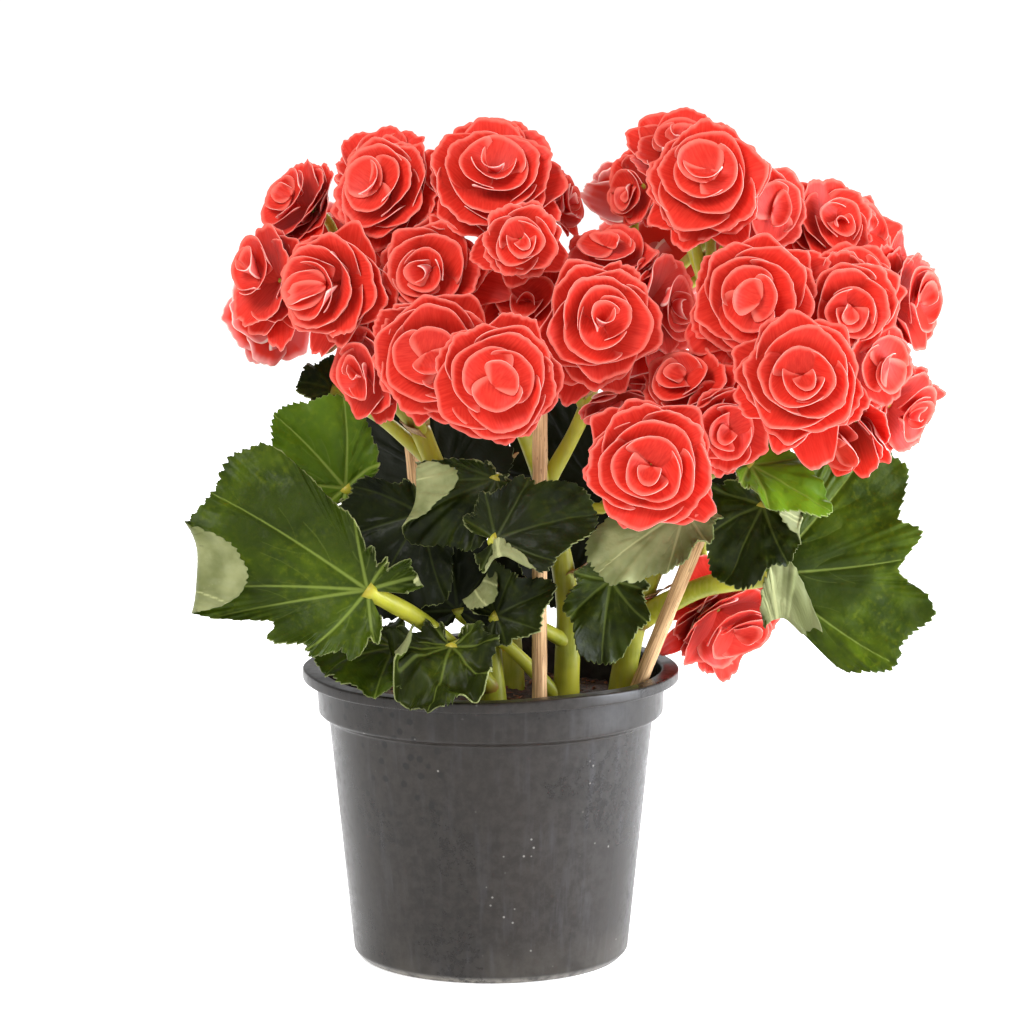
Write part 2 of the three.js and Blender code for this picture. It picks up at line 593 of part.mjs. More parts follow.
// The stalk of a leaf bows up a little and ends under the blade's base, this far from it.
function leafStalk({ at, tip, face, stem, share }, seat) {
  const { leafRadius, rootFlare, leafSides, leafSteps, leafBow } = STALK;
  const start = pointOnLimb(stem, 0, share);
  const along = vec(tip).sub(vec(at)).normalize();
  const end = vec(at).addScaledVector(along, -leafRadius / 2).addScaledVector(direction(face), -seat);
  const bow = start.clone().lerp(end, leafBow[0]);
  bow.z += leafBow[1] * start.distanceTo(end);
  const points = [start, bow, end].map((point) => point.toArray());
  return stalk(points, leafRadius * rootFlare, leafRadius, leafSides, leafSteps);
}

// Each step closes the distance that is left to the blade, down to the gap.
function seatedLeafStalk(leaf) {
  const blade = toSolid(makeLeaf(leaf, LEAVES.indexOf(leaf)));
  let seat = STALK.leafSeat;
  for (let step = 0; step < STALK.seatSteps; step += 1) {
    seat -= toSolid(leafStalk(leaf, seat)).minGap(blade, STALK.leafSeat) - GAP;
  }
  return leafStalk(leaf, seat);
}

function makeStems() {
  STEMS.forEach(({ name, limbs }) => {
    const pieces = limbs.map(({ points, root, tip }) => (
      stalk(points, root, tip, STALK.stemSides, points.length)));
    BLOOMS.filter(({ stem }) => stem === name).forEach((bloom) => pieces.push(bloomStalk(bloom)));
    LEAVES.filter(({ stem }) => stem === name).forEach((leaf) => pieces.push(seatedLeafStalk(leaf)));
    addPiece(name, fuse(name, pieces), 'stem');
  });
}

makePot();
makeSoil();
makeStakes();
makeStems();
makeLeaves();
makeBlooms();

export default plant;
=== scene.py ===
"""A potted double begonia, dressed for a studio picture over its solid model.

Tables are in millimetres in the model's own frame: +Z up, the origin under the middle of the pot, and
the front of the plant towards -Y. Meshes are made in metres.
"""
import math

import bpy
import numpy as np
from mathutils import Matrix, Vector


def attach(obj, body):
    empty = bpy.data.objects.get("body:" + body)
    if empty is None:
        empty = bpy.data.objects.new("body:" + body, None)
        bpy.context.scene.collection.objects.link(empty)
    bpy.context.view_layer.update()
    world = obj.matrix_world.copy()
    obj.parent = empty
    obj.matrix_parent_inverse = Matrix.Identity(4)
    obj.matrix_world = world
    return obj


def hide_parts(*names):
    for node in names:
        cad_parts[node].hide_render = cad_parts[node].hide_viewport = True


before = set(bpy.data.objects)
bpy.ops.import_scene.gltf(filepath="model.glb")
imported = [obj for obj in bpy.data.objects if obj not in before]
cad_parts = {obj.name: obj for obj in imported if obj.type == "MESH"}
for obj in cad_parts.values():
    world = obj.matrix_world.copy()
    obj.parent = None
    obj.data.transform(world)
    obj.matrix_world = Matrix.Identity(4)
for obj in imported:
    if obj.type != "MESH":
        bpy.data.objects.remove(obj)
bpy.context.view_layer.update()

MM = 0.001

# ---- driving dimensions, the same as the solid model's ----

POT = {
    "sides": 256,
    "height": 110,
    "wall": 1.5,
    "floor": 2,
    "foot_radius": 48.3,
    "corner_radius": 3,
    "body_top": 60.4,
    "ledge_height": 91,
    "collar_radius": 64.2,
    "collar_rise": 2,
    "collar_flare": 0.6,
    "lip_radius": 70,
    "lip_height": 4.5,
    "lip_round": 1,
    "hole_radius": 4.5,
    "hole_circle": 35,
    "hole_sides": 48,
    "cutter_length": 20,
    "holes": 6,
}
SOIL = {
    "height": 95,
    "shoulder": 93.2,
    "mound": 2,
    "collar_gap": 0.3,
    "body_gap": 0.4,
    "foot_height": 4,
    "rings": 110,
    "sides": 260,
    "bits": 260,
    "lump_seed": 4,
    "bit_seed": 11,
}
STAKE = {"radius": 2.75, "rows": 90, "sides": 28, "bow": 0.25, "worn_end": 0.5}
STAKES = {
    "stake_front": ((18.3, -40, 14), (18.1, -40, 219)),
    "stake_right": ((28, -20, 38), (77.5, -20, 163.5)),
    "stake_left": ((-11, 28, 14), (-30, 28, 190)),
}
STALK = {
    "leaf_radius": 2.2,
    "leaf_bow": (0.55, 0.06),
    "bloom_radius": 1.7,
    "neck": 7,
    "first_share": 0.45,
    "last_share": 0.98,
    "root_flare": 1.25,
    "step": 2.5,
    "limb_sides": 20,
    "bloom_sides": 12,
    "leaf_sides": 16,
}
CURVE = {"fine_steps": 40, "limb_steps": 200}

# Each limb of a stem is a run of points, with its radius at the root and at the tip.
STEMS = {
    "stem_left": [
        ([(2, -20, 62), (1, -20, 100), (-6, -16, 150), (-26, -8, 200)], 5.5, 3.4),
        ([(-26, -8, 200), (-44, -6, 222), (-56, -6, 244)], 3.2, 2.4),
        ([(-26, -8, 200), (-24, 8, 232), (-24, 6, 268)], 3, 2.2),
    ],
    "stem_front": [
        ([(28, -14, 62), (28, -16, 100), (28, -16, 140), (20, -18, 180)], 5.5, 3.6),
        ([(20, -18, 180), (14, -26, 196), (8, -34, 212)], 3.2, 2.6),
        ([(20, -18, 180), (12, -6, 225), (8, 0, 266)], 3.2, 2.2),
        ([(20, -18, 180), (34, -24, 208), (42, -22, 236)], 3, 2.4),
    ],
    "stem_right": [
        ([(48, 4, 62), (49, 6, 100), (58, 4, 140), (78, -6, 185)], 5.5, 3.6),
        ([(78, -6, 185), (82, -10, 225), (80, -12, 266)], 3.2, 2.4),
        ([(78, -6, 185), (108, -14, 212), (124, -18, 244)], 3.2, 2.4),
        ([(78, -6, 185), (74, -28, 192), (73, -42, 200)], 3, 2.4),
        ([(108, -14, 212), (122, -30, 210), (128, -38, 214)], 2.8, 2.4),
    ],
    "stem_back": [
        ([(8, 24, 62), (8, 26, 100), (4, 34, 150), (0, 40, 190)], 5, 3.4),
        ([(0, 40, 190), (-34, 40, 222), (-46, 36, 246)], 3, 2.2),
        ([(0, 40, 190), (36, 42, 218), (62, 36, 246)], 3, 2.2),
    ],
}

# Blooms: name, middle of the outer petals, size, where it looks (degrees right of the front, degrees
# up), tiers of petals, how closed it is, and the stem and limb that its stalk leaves.
BLOOMS = [
    ("bloom_left_01", (1, -42, 297), 24, (0, 38), 4, 0.3, "stem_front", 2),
    ("bloom_left_01", (3, -24, 304), 19, (5, 55), 3, 0.3, "stem_front", 2),
    ("bloom_left_02", (27, -20, 284), 14, (70, 15), 2, 0.9, "stem_front", 2),
    ("bloom_left_03", (11, -62, 276), 14.5, (0, 12), 3, 0.9, "stem_front", 2),
    ("bloom_left_04", (-39.5, -32, 291), 20.5, (-32, 22), 4, 0.5, "stem_left", 2),
    ("bloom_left_04", (-42, -10, 298), 17, (-20, 58), 3, 0.5, "stem_left", 2),
    ("bloom_left_05", (-72, 2, 284), 18, (-60, 32), 3, 0.5, "stem_left", 1),
    ("bloom_left_06", (-58, -46, 258), 21.5, (-32, 5), 4, 0.5, "stem_left", 1),
    ("bloom_left_07", (-84, -16, 257), 20, (-55, 12), 3, 0.4, "stem_left", 1),
    ("bloom_left_08", (-84.5, 18, 238), 18.5, (-140, -12), 3, 0.3, "stem_left", 1),
    ("bloom_left_09", (-21, -50, 264), 19, (-8, 10), 4, 0.4, "stem_left", 2),
    ("bloom_left_10", (-46, -44, 225), 19, (-52, -5), 3, 0.4, "stem_left", 0),
    ("bloom_middle_01", (-20, -68, 235), 23, (-8, 0), 4, 0.3, "stem_front", 1),
    ("bloom_middle_02", (3, -90, 229), 23, (0, 5), 4, 0.3, "stem_front", 1),
    ("bloom_middle_03", (14, -42, 251), 20.5, (-20, 30), 3, 0.5, "stem_front", 3),
    ("bloom_middle_04", (40, -74, 247), 22.5, (12, 5), 4, 0.5, "stem_front", 3),
    ("bloom_middle_05", (43, -38, 268), 17.5, (-10, 62), 3, 0.7, "stem_front", 3),
    ("bloom_middle_06", (64, -42, 250), 20, (58, 5), 3, 0.4, "stem_front", 3),
    ("bloom_middle_07", (46, -46, 213), 15.5, (20, -60), 2, 0.5, "stem_front", 3),
    ("bloom_right_01", (78, -48, 296), 22, (-4, 22), 4, 0.4, "stem_right", 1),
    ("bloom_right_01", (69, -29, 305), 18.5, (-10, 58), 3, 0.4, "stem_right", 1),
    ("bloom_right_02", (52, -1, 289), 14.5, (-50, 5), 3, 0.4, "stem_right", 1),
    ("bloom_right_03", (101, -30, 283), 18, (30, 5), 3, 0.5, "stem_right", 1),
    ("bloom_right_04", (126, -12, 277.5), 17.5, (30, 26), 3, 0.5, "stem_right", 2),
    ("bloom_right_04", (138, 2, 271), 16, (55, 30), 2, 0.4, "stem_right", 2),
    ("bloom_right_05", (94, -70, 256), 22, (0, 5), 4, 0.3, "stem_right", 1),
    ("bloom_right_06", (129, -62, 252), 18.5, (8, 5), 4, 0.4, "stem_right", 2),
    ("bloom_right_06", (132, -46, 262), 15, (10, 45), 2, 0.4, "stem_right", 2),
    ("bloom_right_06", (139, -61, 231), 16, (36, 5), 3, 0.4, "stem_right", 4),
    ("bloom_right_07", (110, -92, 231), 22.5, (0, 20), 4, 0.4, "stem_right", 4),
    ("bloom_right_08", (155, -20, 248), 20, (60, 5), 3, 0.4, "stem_right", 2),
    ("bloom_right_09", (126, -66, 206), 19, (-45, -35), 3, 0.5, "stem_right", 4),
    ("bloom_right_10", (151, -34, 209), 18.5, (52, -20), 3, 0.4, "stem_right", 4),
    ("bloom_low_01", (57, -98, 200), 23.5, (0, 5), 4, 0.3, "stem_right", 3),
    ("bloom_low_02", (70, -68, 226), 17, (-25, 45), 3, 0.6, "stem_right", 3),
    ("bloom_low_02", (85, -76, 210), 17, (16, 0), 3, 0.5, "stem_right", 3),
    ("bloom_low_03", (90, 14, 121), 22.5, (35, -38), 3, 0.5, "stem_right", 0),
    ("bloom_back_01", (-60, 46, 262), 21, (-150, 25), 3, 0.4, "stem_back", 1),
    ("bloom_back_01", (-32, 54, 248), 21, (180, 5), 3, 0.4, "stem_back", 1),
    ("bloom_back_02", (-26, 26, 286), 21, (-165, 55), 3, 0.4, "stem_back", 1),
    ("bloom_back_02", (6, 30, 284), 20, (175, 50), 2, 0.4, "stem_back", 1),
    ("bloom_back_03", (60, 54, 256), 22, (170, 15), 3, 0.4, "stem_back", 2),
    ("bloom_back_03", (92, 40, 262), 21, (145, 22), 3, 0.4, "stem_back", 2),
    ("bloom_back_04", (54, 24, 286), 20, (175, 52), 3, 0.4, "stem_back", 2),
    ("bloom_back_04", (88, 12, 288), 19, (150, 58), 2, 0.4, "stem_back", 2),
]

# Leaves: name, the blade's base, its tip, where the upper side looks, its lobes, how cupped and how
# drooping it is, its large teeth, the stem, and the share of the stem's first limb that its stalk leaves.
# The lobes are the blade's lengths at even steps round its base, in shares of the way from base to tip.
HEART = (0.55, 0.75, 0.86, 0.92, 1, 0.95, 0.88, 0.7, 0.5)
LEFT = (0.24, 0.3, 0.38, 0.42, 0.5, 0.62, 0.85, 1.02, 1.03, 0.98, 0.45, 0.25, 0.2, 0.2, 0.28, 0.36, 0.3)
RIGHT = (
    0.12, 0.15, 0.2, 0.28, 0.35, 0.42, 0.68, 0.95, 1.15, 0.98, 0.95, 1.1, 1.05, 0.8, 0.38, 0.15, 0.12)
NARROW = (0.3, 0.38, 0.46, 0.7, 1, 0.7, 0.46, 0.38, 0.3)
BROAD = (0.2, 0.42, 0.62, 0.8, 1, 0.8, 0.62, 0.42, 0.2)
FAN = (0.15, 0.2, 0.35, 0.8, 1.02, 0.93, 0.55, 0.2, 0.15)
HANGING = (0.2, 0.3, 0.5, 0.9, 1.05, 1, 0.72, 0.4, 0.2)
SWEPT = (0.15, 0.2, 0.3, 0.6, 1, 1.35, 0.75, 0.3, 0.2)
LIFTED = (0.3, 0.6, 0.9, 0.7, 1, 0.85, 0.6, 0.4, 0.3)
LEAVES = [
    ("leaf_left_01", (-44, -64, 149.5), (-99, -60, 187.5), (-8, 18), LEFT, 0.1, 0.1, 12, "stem_left", 0.3),
    ("leaf_left_02", (-53, -28, 181), (-76, -32, 209.5), (-10, 25), FAN, 0.12, 0.1, 9, "stem_left", 0.75),
    ("leaf_left_03", (-25, -37, 173), (-44, -43, 143.5), (-5, 15), HANGING, 0.1, 0.15, 8, "stem_left", 0.6),
    ("leaf_left_04", (-59, 10, 212), (-81, 4, 222), (-20, 40), HEART, 0.1, 0.1, 6, "stem_left", 0.9),
    ("leaf_left_05", (-35, -42, 124.5), (-61, -60, 123), (-10, 55), HEART, -0.05, 0.16, 8, "stem_left", 0.35),
    ("leaf_front_01", (-14, -54, 127), (-22.5, -84, 114), (-10, 55), BROAD, 0.1, 0.3, 7, "stem_left", 0.4),
    ("leaf_front_02", (2, -50, 188), (-9.5, -58, 164.5), (0, 35), SWEPT, 0.1, 0.15, 9, "stem_left", 0.65),
    ("leaf_front_03", (2, -63, 168), (36, -67, 181), (0, 30), NARROW, 0.12, 0.1, 8, "stem_front", 0.85),
    ("leaf_front_04", (2, -47, 137), (20, -54, 149.5), (-10, 30), LIFTED, 0.12, 0.2, 7, "stem_front", 0.5),
    ("leaf_front_05", (44, -34, 148), (39, -44, 118), (5, 15), NARROW, 0.1, 0.1, 8, "stem_front", 0.6),
    ("leaf_middle_01", (-12, -33, 136.5), (-15, -31, 162.5), (0, 5), BROAD, 0.1, 0.1, 8, "stem_front", 0.3),
    ("leaf_right_01", (70, -60, 178), (40, -70, 162), (10, 45), NARROW, 0.12, 0.15, 8, "stem_right", 0.9),
    ("leaf_right_02", (99, -40, 176.5), (87, -50, 154.5), (0, 45), BROAD, 0.14, 0.25, 8, "stem_right", 0.85),
    ("leaf_right_03", (93.5, -56, 194), (120, -62, 181), (0, 60), NARROW, 0.1, 0.1, 7, "stem_right", 0.95),
    ("leaf_right_04", (101, -28, 149), (138, -18, 187.5), (10, 12), RIGHT, 0.08, 0.08, 12, "stem_right", 0.5),
    ("leaf_back_01", (-18, 42, 172), (-41, 48, 188), (-170, 30), HEART, 0.1, 0.1, 8, "stem_back", 0.7),
    ("leaf_back_02", (44, 46, 164), (31, 50, 186), (170, 30), HEART, 0.1, 0.1, 8, "stem_back", 0.75),
]
BLADE = {
    "thickness": 0.5,
    "span": 300,
    "tooth_depth": 0.1,
    "serration": 3.2,
    "waves": 5,
    "wave": 0.055,
    "columns": (300, 760),
    "columns_per_mm": 11,
    "outward": 76,
    "fold_radius": 2.2,
    "fold_curve": 0.25,
    "vein_ridge": 0.9,
    "widest_margin": 9,
}
VEINS = {
    "rays": 7,
    "ray_ends": (0.07, 0.93),
    "ray_points": 10,
    "side_veins": 5,
    "side_ends": (0.25, 0.85),
    "side_weight": 0.45,
    "fine": 0.28,
    "swell": 0.55,
    "channel": 1.1,
}

# How a blade looks: how dark it is, which for the leaves in the shaded middle and back of the plant is
# painted shade standing for the shade there, and for the others their own darker green; how light and yellow
# it is, whether its underside is turned to the front, how much it outgrows its plain outline, how ruffled its
# edge and how dented its face are in millimetres, and how much thicker its stalk is than the others. A flap
# is (turn, spread, extra length), and a fold is (turn, distance from the base, degrees folded over, spread).
# Turns are counter-clockwise from the midrib, seen from the upper side.
LOOK = {
    "dark": 0.4, "light": 0.0, "flip": 0, "grow": 1.0, "ruffle": 0.9, "dents": 0.45, "stalk": 1.0,
    "flaps": (), "folds": (),
}
# The high darks, of 0.75 and over, are painted shade for leaves in the shaded middle and back of the plant;
# those near 1 darken the undersides too.
LOOKS = {
    "leaf_left_01": {
        "dark": 0.24, "light": 0.08, "grow": 1.05, "stalk": 1.35,
        "flaps": [(31, 12, 0.34), (10, 8, -0.06), (54, 6, -0.08)],
        "folds": [(31, 0.88, 154, 22), (-127, 0.24, 130, 30)],
    },
    "leaf_left_02": {"dark": 0.12, "light": 0.3, "grow": 1.04, "ruffle": 1.5},
    "leaf_left_03": {"dark": 0.92, "grow": 1.15, "ruffle": 1.6},
    "leaf_left_04": {"dark": 0.75, "grow": 0.6},
    "leaf_left_05": {"dark": 0.3, "light": 0.1, "ruffle": 2.0, "dents": 0.8},
    "leaf_front_01": {
        "dark": 0.45, "ruffle": 3.6, "dents": 2.0, "flaps": [(-60, 20, 0.3)], "folds": [(-60, 0.55, 140, 30)],
    },
    "leaf_front_02": {
        "dark": 0.75, "grow": 1.08, "ruffle": 1.6, "flaps": [(-64, 14, 0.9)], "folds": [(-64, 0.95, 146, 28)],
    },
    "leaf_front_03": {"dark": 0.7, "grow": 1.1, "folds": [(-92, 0.14, 160, 34)]},
    "leaf_front_04": {
        "dark": 0.75, "grow": 1.1, "ruffle": 1.6, "flaps": [(104, 20, 0.5)], "folds": [(104, 0.42, 148, 34)],
    },
    "leaf_front_05": {"dark": 0.5, "grow": 1.05, "ruffle": 1.4},
    "leaf_middle_01": {"dark": 1.0, "grow": 1.35, "flaps": [(-100, 40, 0.5)]},
    "leaf_right_01": {"dark": 0.0, "flip": 1, "grow": 1.2, "ruffle": 1.8},
    "leaf_right_02": {
        "dark": 0.55, "grow": 1.22, "ruffle": 2.4, "dents": 1.3,
        "flaps": [(95, 20, 0.4), (-70, 20, 0.3)], "folds": [(95, 0.5, 140, 34)],
    },
    "leaf_right_03": {"dark": 0.0, "light": 0.55, "grow": 1.15, "ruffle": 1.6},
    "leaf_right_04": {
        "dark": 0.1, "light": 0.06, "grow": 1.05, "ruffle": 1.3, "stalk": 1.6,
        "flaps": [
            (-124, 15, 0.62), (5, 7, 0.15), (-13, 8, 0.16), (-31, 5, 0.14), (-46, 5, -0.1), (-60, 7, 0.06),
            (-88, 9, 0.12), (-106, 8, 0.14),
        ],
        "folds": [(-124, 0.26, 150, 21)],
    },
    "leaf_back_01": {"dark": 1.0, "grow": 1.6},
    "leaf_back_02": {"dark": 1.0, "grow": 1.8, "flaps": [(-110, 32, 0.9), (120, 32, 1.0)]},
}


def leaf_look(leaf):
    """How one blade looks, with the common values where it has none of its own."""
    return {**LOOK, **LOOKS.get(leaf[0], {})}


# ---- camera ----

CAMERA = {"place": (7.9, -1900, 472), "pitch": 9.1, "sensor": 36, "lens": 182.25, "clip": (0.01, 100)}

# ---- vectors, curves and meshes ----


def unit(vectors):
    """Vectors of length one."""
    return vectors / np.linalg.norm(vectors, axis=-1, keepdims=True)


def facing(turn, lift):
    """The direction that looks `turn` degrees right of the front and `lift` degrees up."""
    turn, lift = math.radians(turn), math.radians(lift)
    level = math.cos(lift)
    return np.array((math.sin(turn) * level, -math.cos(turn) * level, math.sin(lift)))


def smooth(low, high, value):
    """0 below low, 1 above high, and an even swell between them."""
    t = np.clip((value - low) / (high - low), 0, 1)
    return t * t * (3 - 2 * t)


def ripple(places, waves, seed):
    """An uneven wave along the places: a sum of sines near the pitches in `waves`, with drawn phases."""
    draw = np.random.default_rng(seed)
    total = np.zeros_like(places, dtype=float)
    for pitch in waves:
        turns = places * pitch * draw.uniform(0.8, 1.2) + draw.uniform(0, 7)
        total += math.sqrt(1 / len(waves)) * np.sin(turns)
    return total


def bent_line(start, middle, end, t):
    """The points at the shares t of a line that runs from the start, past the middle, to the end."""
    return (1 - t) ** 2 * start + 2 * t * (1 - t) * middle + t**2 * end


def round_angles(count):
    """Even angles once round, in radians."""
    return np.linspace(0, 2 * math.pi, count, endpoint=False)


def smooth_curve(points, count):
    """Evenly spaced points along a centripetal Catmull-Rom curve."""
    points = np.array(points, float)
    points = np.vstack([2 * points[0] - points[1], points, 2 * points[-1] - points[-2]])
    t = np.linspace(0, 1, CURVE["fine_steps"], endpoint=False)[:, None]
    runs = []
    for a, b, c, d in zip(points, points[1:], points[2:], points[3:]):
        before, here, after = (math.sqrt(np.linalg.norm(x)) for x in (b - a, c - b, d - c))
        leave = here * ((b - a) / before - (c - a) / (before + here) + (c - b) / here)
        arrive = here * ((c - b) / here - (d - b) / (here + after) + (d - c) / after)
        bend = (t**3 - 2 * t**2 + t) * leave + (t**3 - t**2) * arrive
        runs.append((2 * t**3 - 3 * t**2 + 1) * b + (3 * t**2 - 2 * t**3) * c + bend)
    fine = np.vstack([*runs, points[-2]])
    reach = np.concatenate([[0], np.cumsum(np.linalg.norm(np.diff(fine, axis=0), axis=1))])
    even = np.linspace(0, reach[-1], count)
    return np.column_stack([np.interp(even, reach, fine[:, i]) for i in range(3)])


class Shape:
    """Points, faces and point attributes of a mesh that is being put together."""

    def __init__(self):
        self.points, self.faces, self.attributes, self.count = [], [], {}, 0

    def add(self, points, faces, **attributes):
        """Adds points, faces as an array or a list of arrays, and each attribute's value for every point."""
        points = np.asarray(points, float).reshape(-1, 3)
        for group in faces if isinstance(faces, list) else [faces]:
            self.faces.append(np.asarray(group, int) + self.count)
        for name, values in attributes.items():
            if np.ndim(values) < 2:
                values = np.broadcast_to(np.asarray(values, float), (len(points),))
            self.attributes.setdefault(name, []).append(np.array(values, float).reshape(len(points), -1))
        self.points.append(points)
        self.count += len(points)

    def mesh(self, name):
        """A smooth-shaded mesh in metres."""
        mesh = bpy.data.meshes.new(name)
        mesh.vertices.add(self.count)
        mesh.vertices.foreach_set("co", (np.vstack(self.points) * MM).astype(np.float32).ravel())
        sizes = np.concatenate([np.full(len(group), group.shape[1]) for group in self.faces])
        corners = np.concatenate([group.ravel() for group in self.faces])
        mesh.loops.add(len(corners))
        mesh.loops.foreach_set("vertex_index", corners.astype(np.int32))
        mesh.polygons.add(len(sizes))
        mesh.polygons.foreach_set("loop_start", (np.cumsum(sizes) - sizes).astype(np.int32))
        mesh.polygons.foreach_set("use_smooth", np.ones(len(sizes), bool))
        mesh.update(calc_edges=True)
        mesh.validate()
        for key, runs in self.attributes.items():
            values = np.vstack(runs).astype(np.float32)
            if values.shape[1] == 1:
                mesh.attributes.new(key, "FLOAT", "POINT").data.foreach_set("value", values.ravel())
            else:
                mesh.attributes.new(key, "FLOAT_VECTOR", "POINT").data.foreach_set("vector", values.ravel())
        return mesh


def place(name, shape, material, slot, *nodes):
    """Makes the piece that stands for the nodes of the solid model."""
    piece = bpy.data.objects.new(name, shape.mesh(name))
    bpy.context.scene.collection.objects.link(piece)
    piece.data.materials.append(material)
    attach(piece, "root")
    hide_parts(*nodes)
    return piece


def grid_faces(rows, columns, closed=False):
    """The four-sided faces of a grid of points. A closed grid joins its last column to its first."""
    row, column = np.mgrid[0 : rows - 1, 0 : columns - (0 if closed else 1)]
    after = (column + 1) % columns
    here, beside = row * columns + column, row * columns + after
    return np.stack([here, beside, beside + columns, here + columns], -1).reshape(-1, 4)


def tube_faces(rows, sides):
    """The faces of a tube that is a pile of rings, with one flat face at each end."""
    ring = np.arange(sides)
    return [grid_faces(rows, sides, closed=True), ring[None, ::-1], (ring + (rows - 1) * sides)[None, :]]


def grid_rim(rows, columns):
    """The grid's outer points in order, once round."""
    index = np.arange(rows * columns).reshape(rows, columns)
    return np.concatenate([index[0, :-1], index[:-1, -1], index[-1, :0:-1], index[:0:-1, 0]])


def grid_normals(sheet):
    """The sheet's normals at its points, from its neighbours along rows and columns."""
    across = np.gradient(sheet, axis=1)
    outward = np.gradient(sheet, axis=0)
    normals = np.cross(across, outward)
    return normals / np.maximum(np.linalg.norm(normals, axis=-1, keepdims=True), 1e-9)


def add_sheet(shape, sheet, thickness, flip=0, **attributes):
    """Adds a thin closed shell whose upper face is a grid of points. `under` is 1 on its lower face, or
    on its upper one for a sheet that is flipped."""
    rows, columns, _ = sheet.shape
    normals = grid_normals(sheet)
    upper = sheet.reshape(-1, 3)
    lower = (sheet - normals * thickness).reshape(-1, 3)
    count = rows * columns
    top = grid_faces(rows, columns)
    rim = grid_rim(rows, columns)
    onward = np.roll(rim, -1)
    edge = np.stack([rim, rim + count, onward + count, onward], -1)
    both = {key: np.tile(np.asarray(values).reshape(-1), 2) for key, values in attributes.items()}
    under = np.repeat((float(flip), 1.0 - flip), count)
    shape.add(np.vstack([upper, lower]), [top, top[:, ::-1] + count, edge], under=under, **both)


def add_flat(shape, flat):
    """Gives both faces of a sheet that was just added its flat places, which its pattern follows."""
    spots = np.dstack([flat, np.zeros(flat.shape[:2])]).reshape(-1, 3)
    shape.attributes.setdefault("flat", []).append(np.tile(spots, (2, 1)))


def add_tube(shape, points, radii, sides, **attributes):
    """Adds a round tube along the points, closed at both ends. The frame is carried along the curve."""
    points, radii = np.asarray(points, float), np.asarray(radii, float)
    along = unit(np.gradient(points, axis=0))
    side = np.cross(along[0], (0, 0, 1) if abs(along[0][2]) < 0.9 else (1, 0, 0))
    sides_of = []
    for direction in along:
        side = unit(side - direction * side.dot(direction))
        sides_of.append(side)
    side = np.array(sides_of)
    other = np.cross(along, side)
    angle = round_angles(sides)[None, :, None]
    ring = side[:, None] * np.cos(angle) + other[:, None] * np.sin(angle)
    surface = points[:, None] + ring * (radii[:, None, None] if radii.ndim == 1 else radii[..., None])
    spread = {
        key: np.repeat(values, sides) if np.ndim(values) == 1 else values
        for key, values in attributes.items()
    }
    shape.add(surface, tube_faces(len(points), sides), **spread)


# ---- materials ----


class Nodes:
    """A material's node tree, with short calls to build it."""

    def __init__(self, name):
        self.material = bpy.data.materials.new(name)
        self.material.use_nodes = True
        self.tree = self.material.node_tree
        self.tree.nodes.clear()

    def add(self, kind, inputs=None, **settings):
        """A node with its settings. An input is a value, or another node's socket to link."""
        node = self.tree.nodes.new("ShaderNode" + kind)
        for key, value in settings.items():
            setattr(node, key, value)
        for key, value in (inputs or {}).items():
            if isinstance(value, bpy.types.NodeSocket):
                self.tree.links.new(value, node.inputs[key])
            else:
                node.inputs[key].default_value = value
        return node

    def attribute(self, name, output="Fac"):
        """A value that the mesh carries at its points."""
        return self.add("Attribute", attribute_name=name).outputs[output]

    def ramp(self, value, low, high, to_low=0.0, to_high=1.0):
        """A value mapped from one range to another, and held within it."""
        ends = {"Value": value, "From Min": low, "From Max": high, "To Min": to_low, "To Max": to_high}
        return self.add("MapRange", ends, interpolation_type="SMOOTHSTEP").outputs["Result"]

    def plus(self, a, b):
        """The sum of two values."""
        return self.add("Math", {0: a, 1: b}, operation="ADD").outputs[0]

    def times(self, a, b):
        """The product of two values."""
        return self.add("Math", {0: a, 1: b}, operation="MULTIPLY").outputs[0]

    def noise(self, vector, scale, detail=3.0, roughness=0.55):
        """A cloudy pattern from 0 to 1."""
        values = {"Vector": vector, "Scale": scale, "Detail": detail, "Roughness": roughness}
        return self.add("TexNoise", values).outputs["Fac"]

    def cells(self, vector, scale):
        """The distance from the middle of each cell of an uneven mosaic."""
        return self.add("TexVoronoi", {"Vector": vector, "Scale": scale}).outputs["Distance"]

    def mix(self, share, a, b):
        """Colour a, with a share of colour b."""
        node = self.add("Mix", data_type="RGBA")
        factor, first, second = node.inputs[0], node.inputs[6], node.inputs[7]
        for socket, value in zip((factor, first, second), (share, a, b)):
            if isinstance(value, bpy.types.NodeSocket):
                self.tree.links.new(value, socket)
            else:
                socket.default_value = value
        return node.outputs[2]

    def stretched(self, scale=(1, 1, 1), attribute=None):
        """Object coordinates, or a vector attribute, with each axis scaled."""
        source = self.attribute(attribute, "Vector") if attribute else self.add("TexCoord").outputs["Object"]
        return self.add("Mapping", {"Vector": source, "Scale": scale}).outputs[0]

    def bump(self, height, strength, distance):
        """Normals that follow a fine relief, whose distance is in metres."""
        return self.add("Bump", {"Height": height, "Strength": strength, "Distance": distance}).outputs[0]

    def skin(self, colour, normal, values):
        """A surface with the shader's own values."""
        return self.add("BsdfPrincipled", {"Base Color": colour, "Normal": normal, **values}).outputs[0]

    def thin(self, colour, through, share, normal, values):
        """A thin living sheet: a soft surface that also lets a share of the light through."""
        glow = self.add("BsdfTranslucent", {"Color": through, "Normal": normal}).outputs[0]
        return self.add("MixShader", {0: share, 1: self.skin(colour, normal, values), 2: glow}).outputs[0]

    def finish(self, shader):
        """The material, once its shader is made."""
        self.add("OutputMaterial", {"Surface": shader})
        return self.material


def rgb(red, green, blue):
    """A linear colour from the 0 to 255 scale that screens use."""
    shares = (red / 255, green / 255, blue / 255)
    linear = [c / 12.92 if c <= 0.04045 else ((c + 0.055) / 1.055) ** 2.4 for c in shares]
    return (*linear, 1.0)


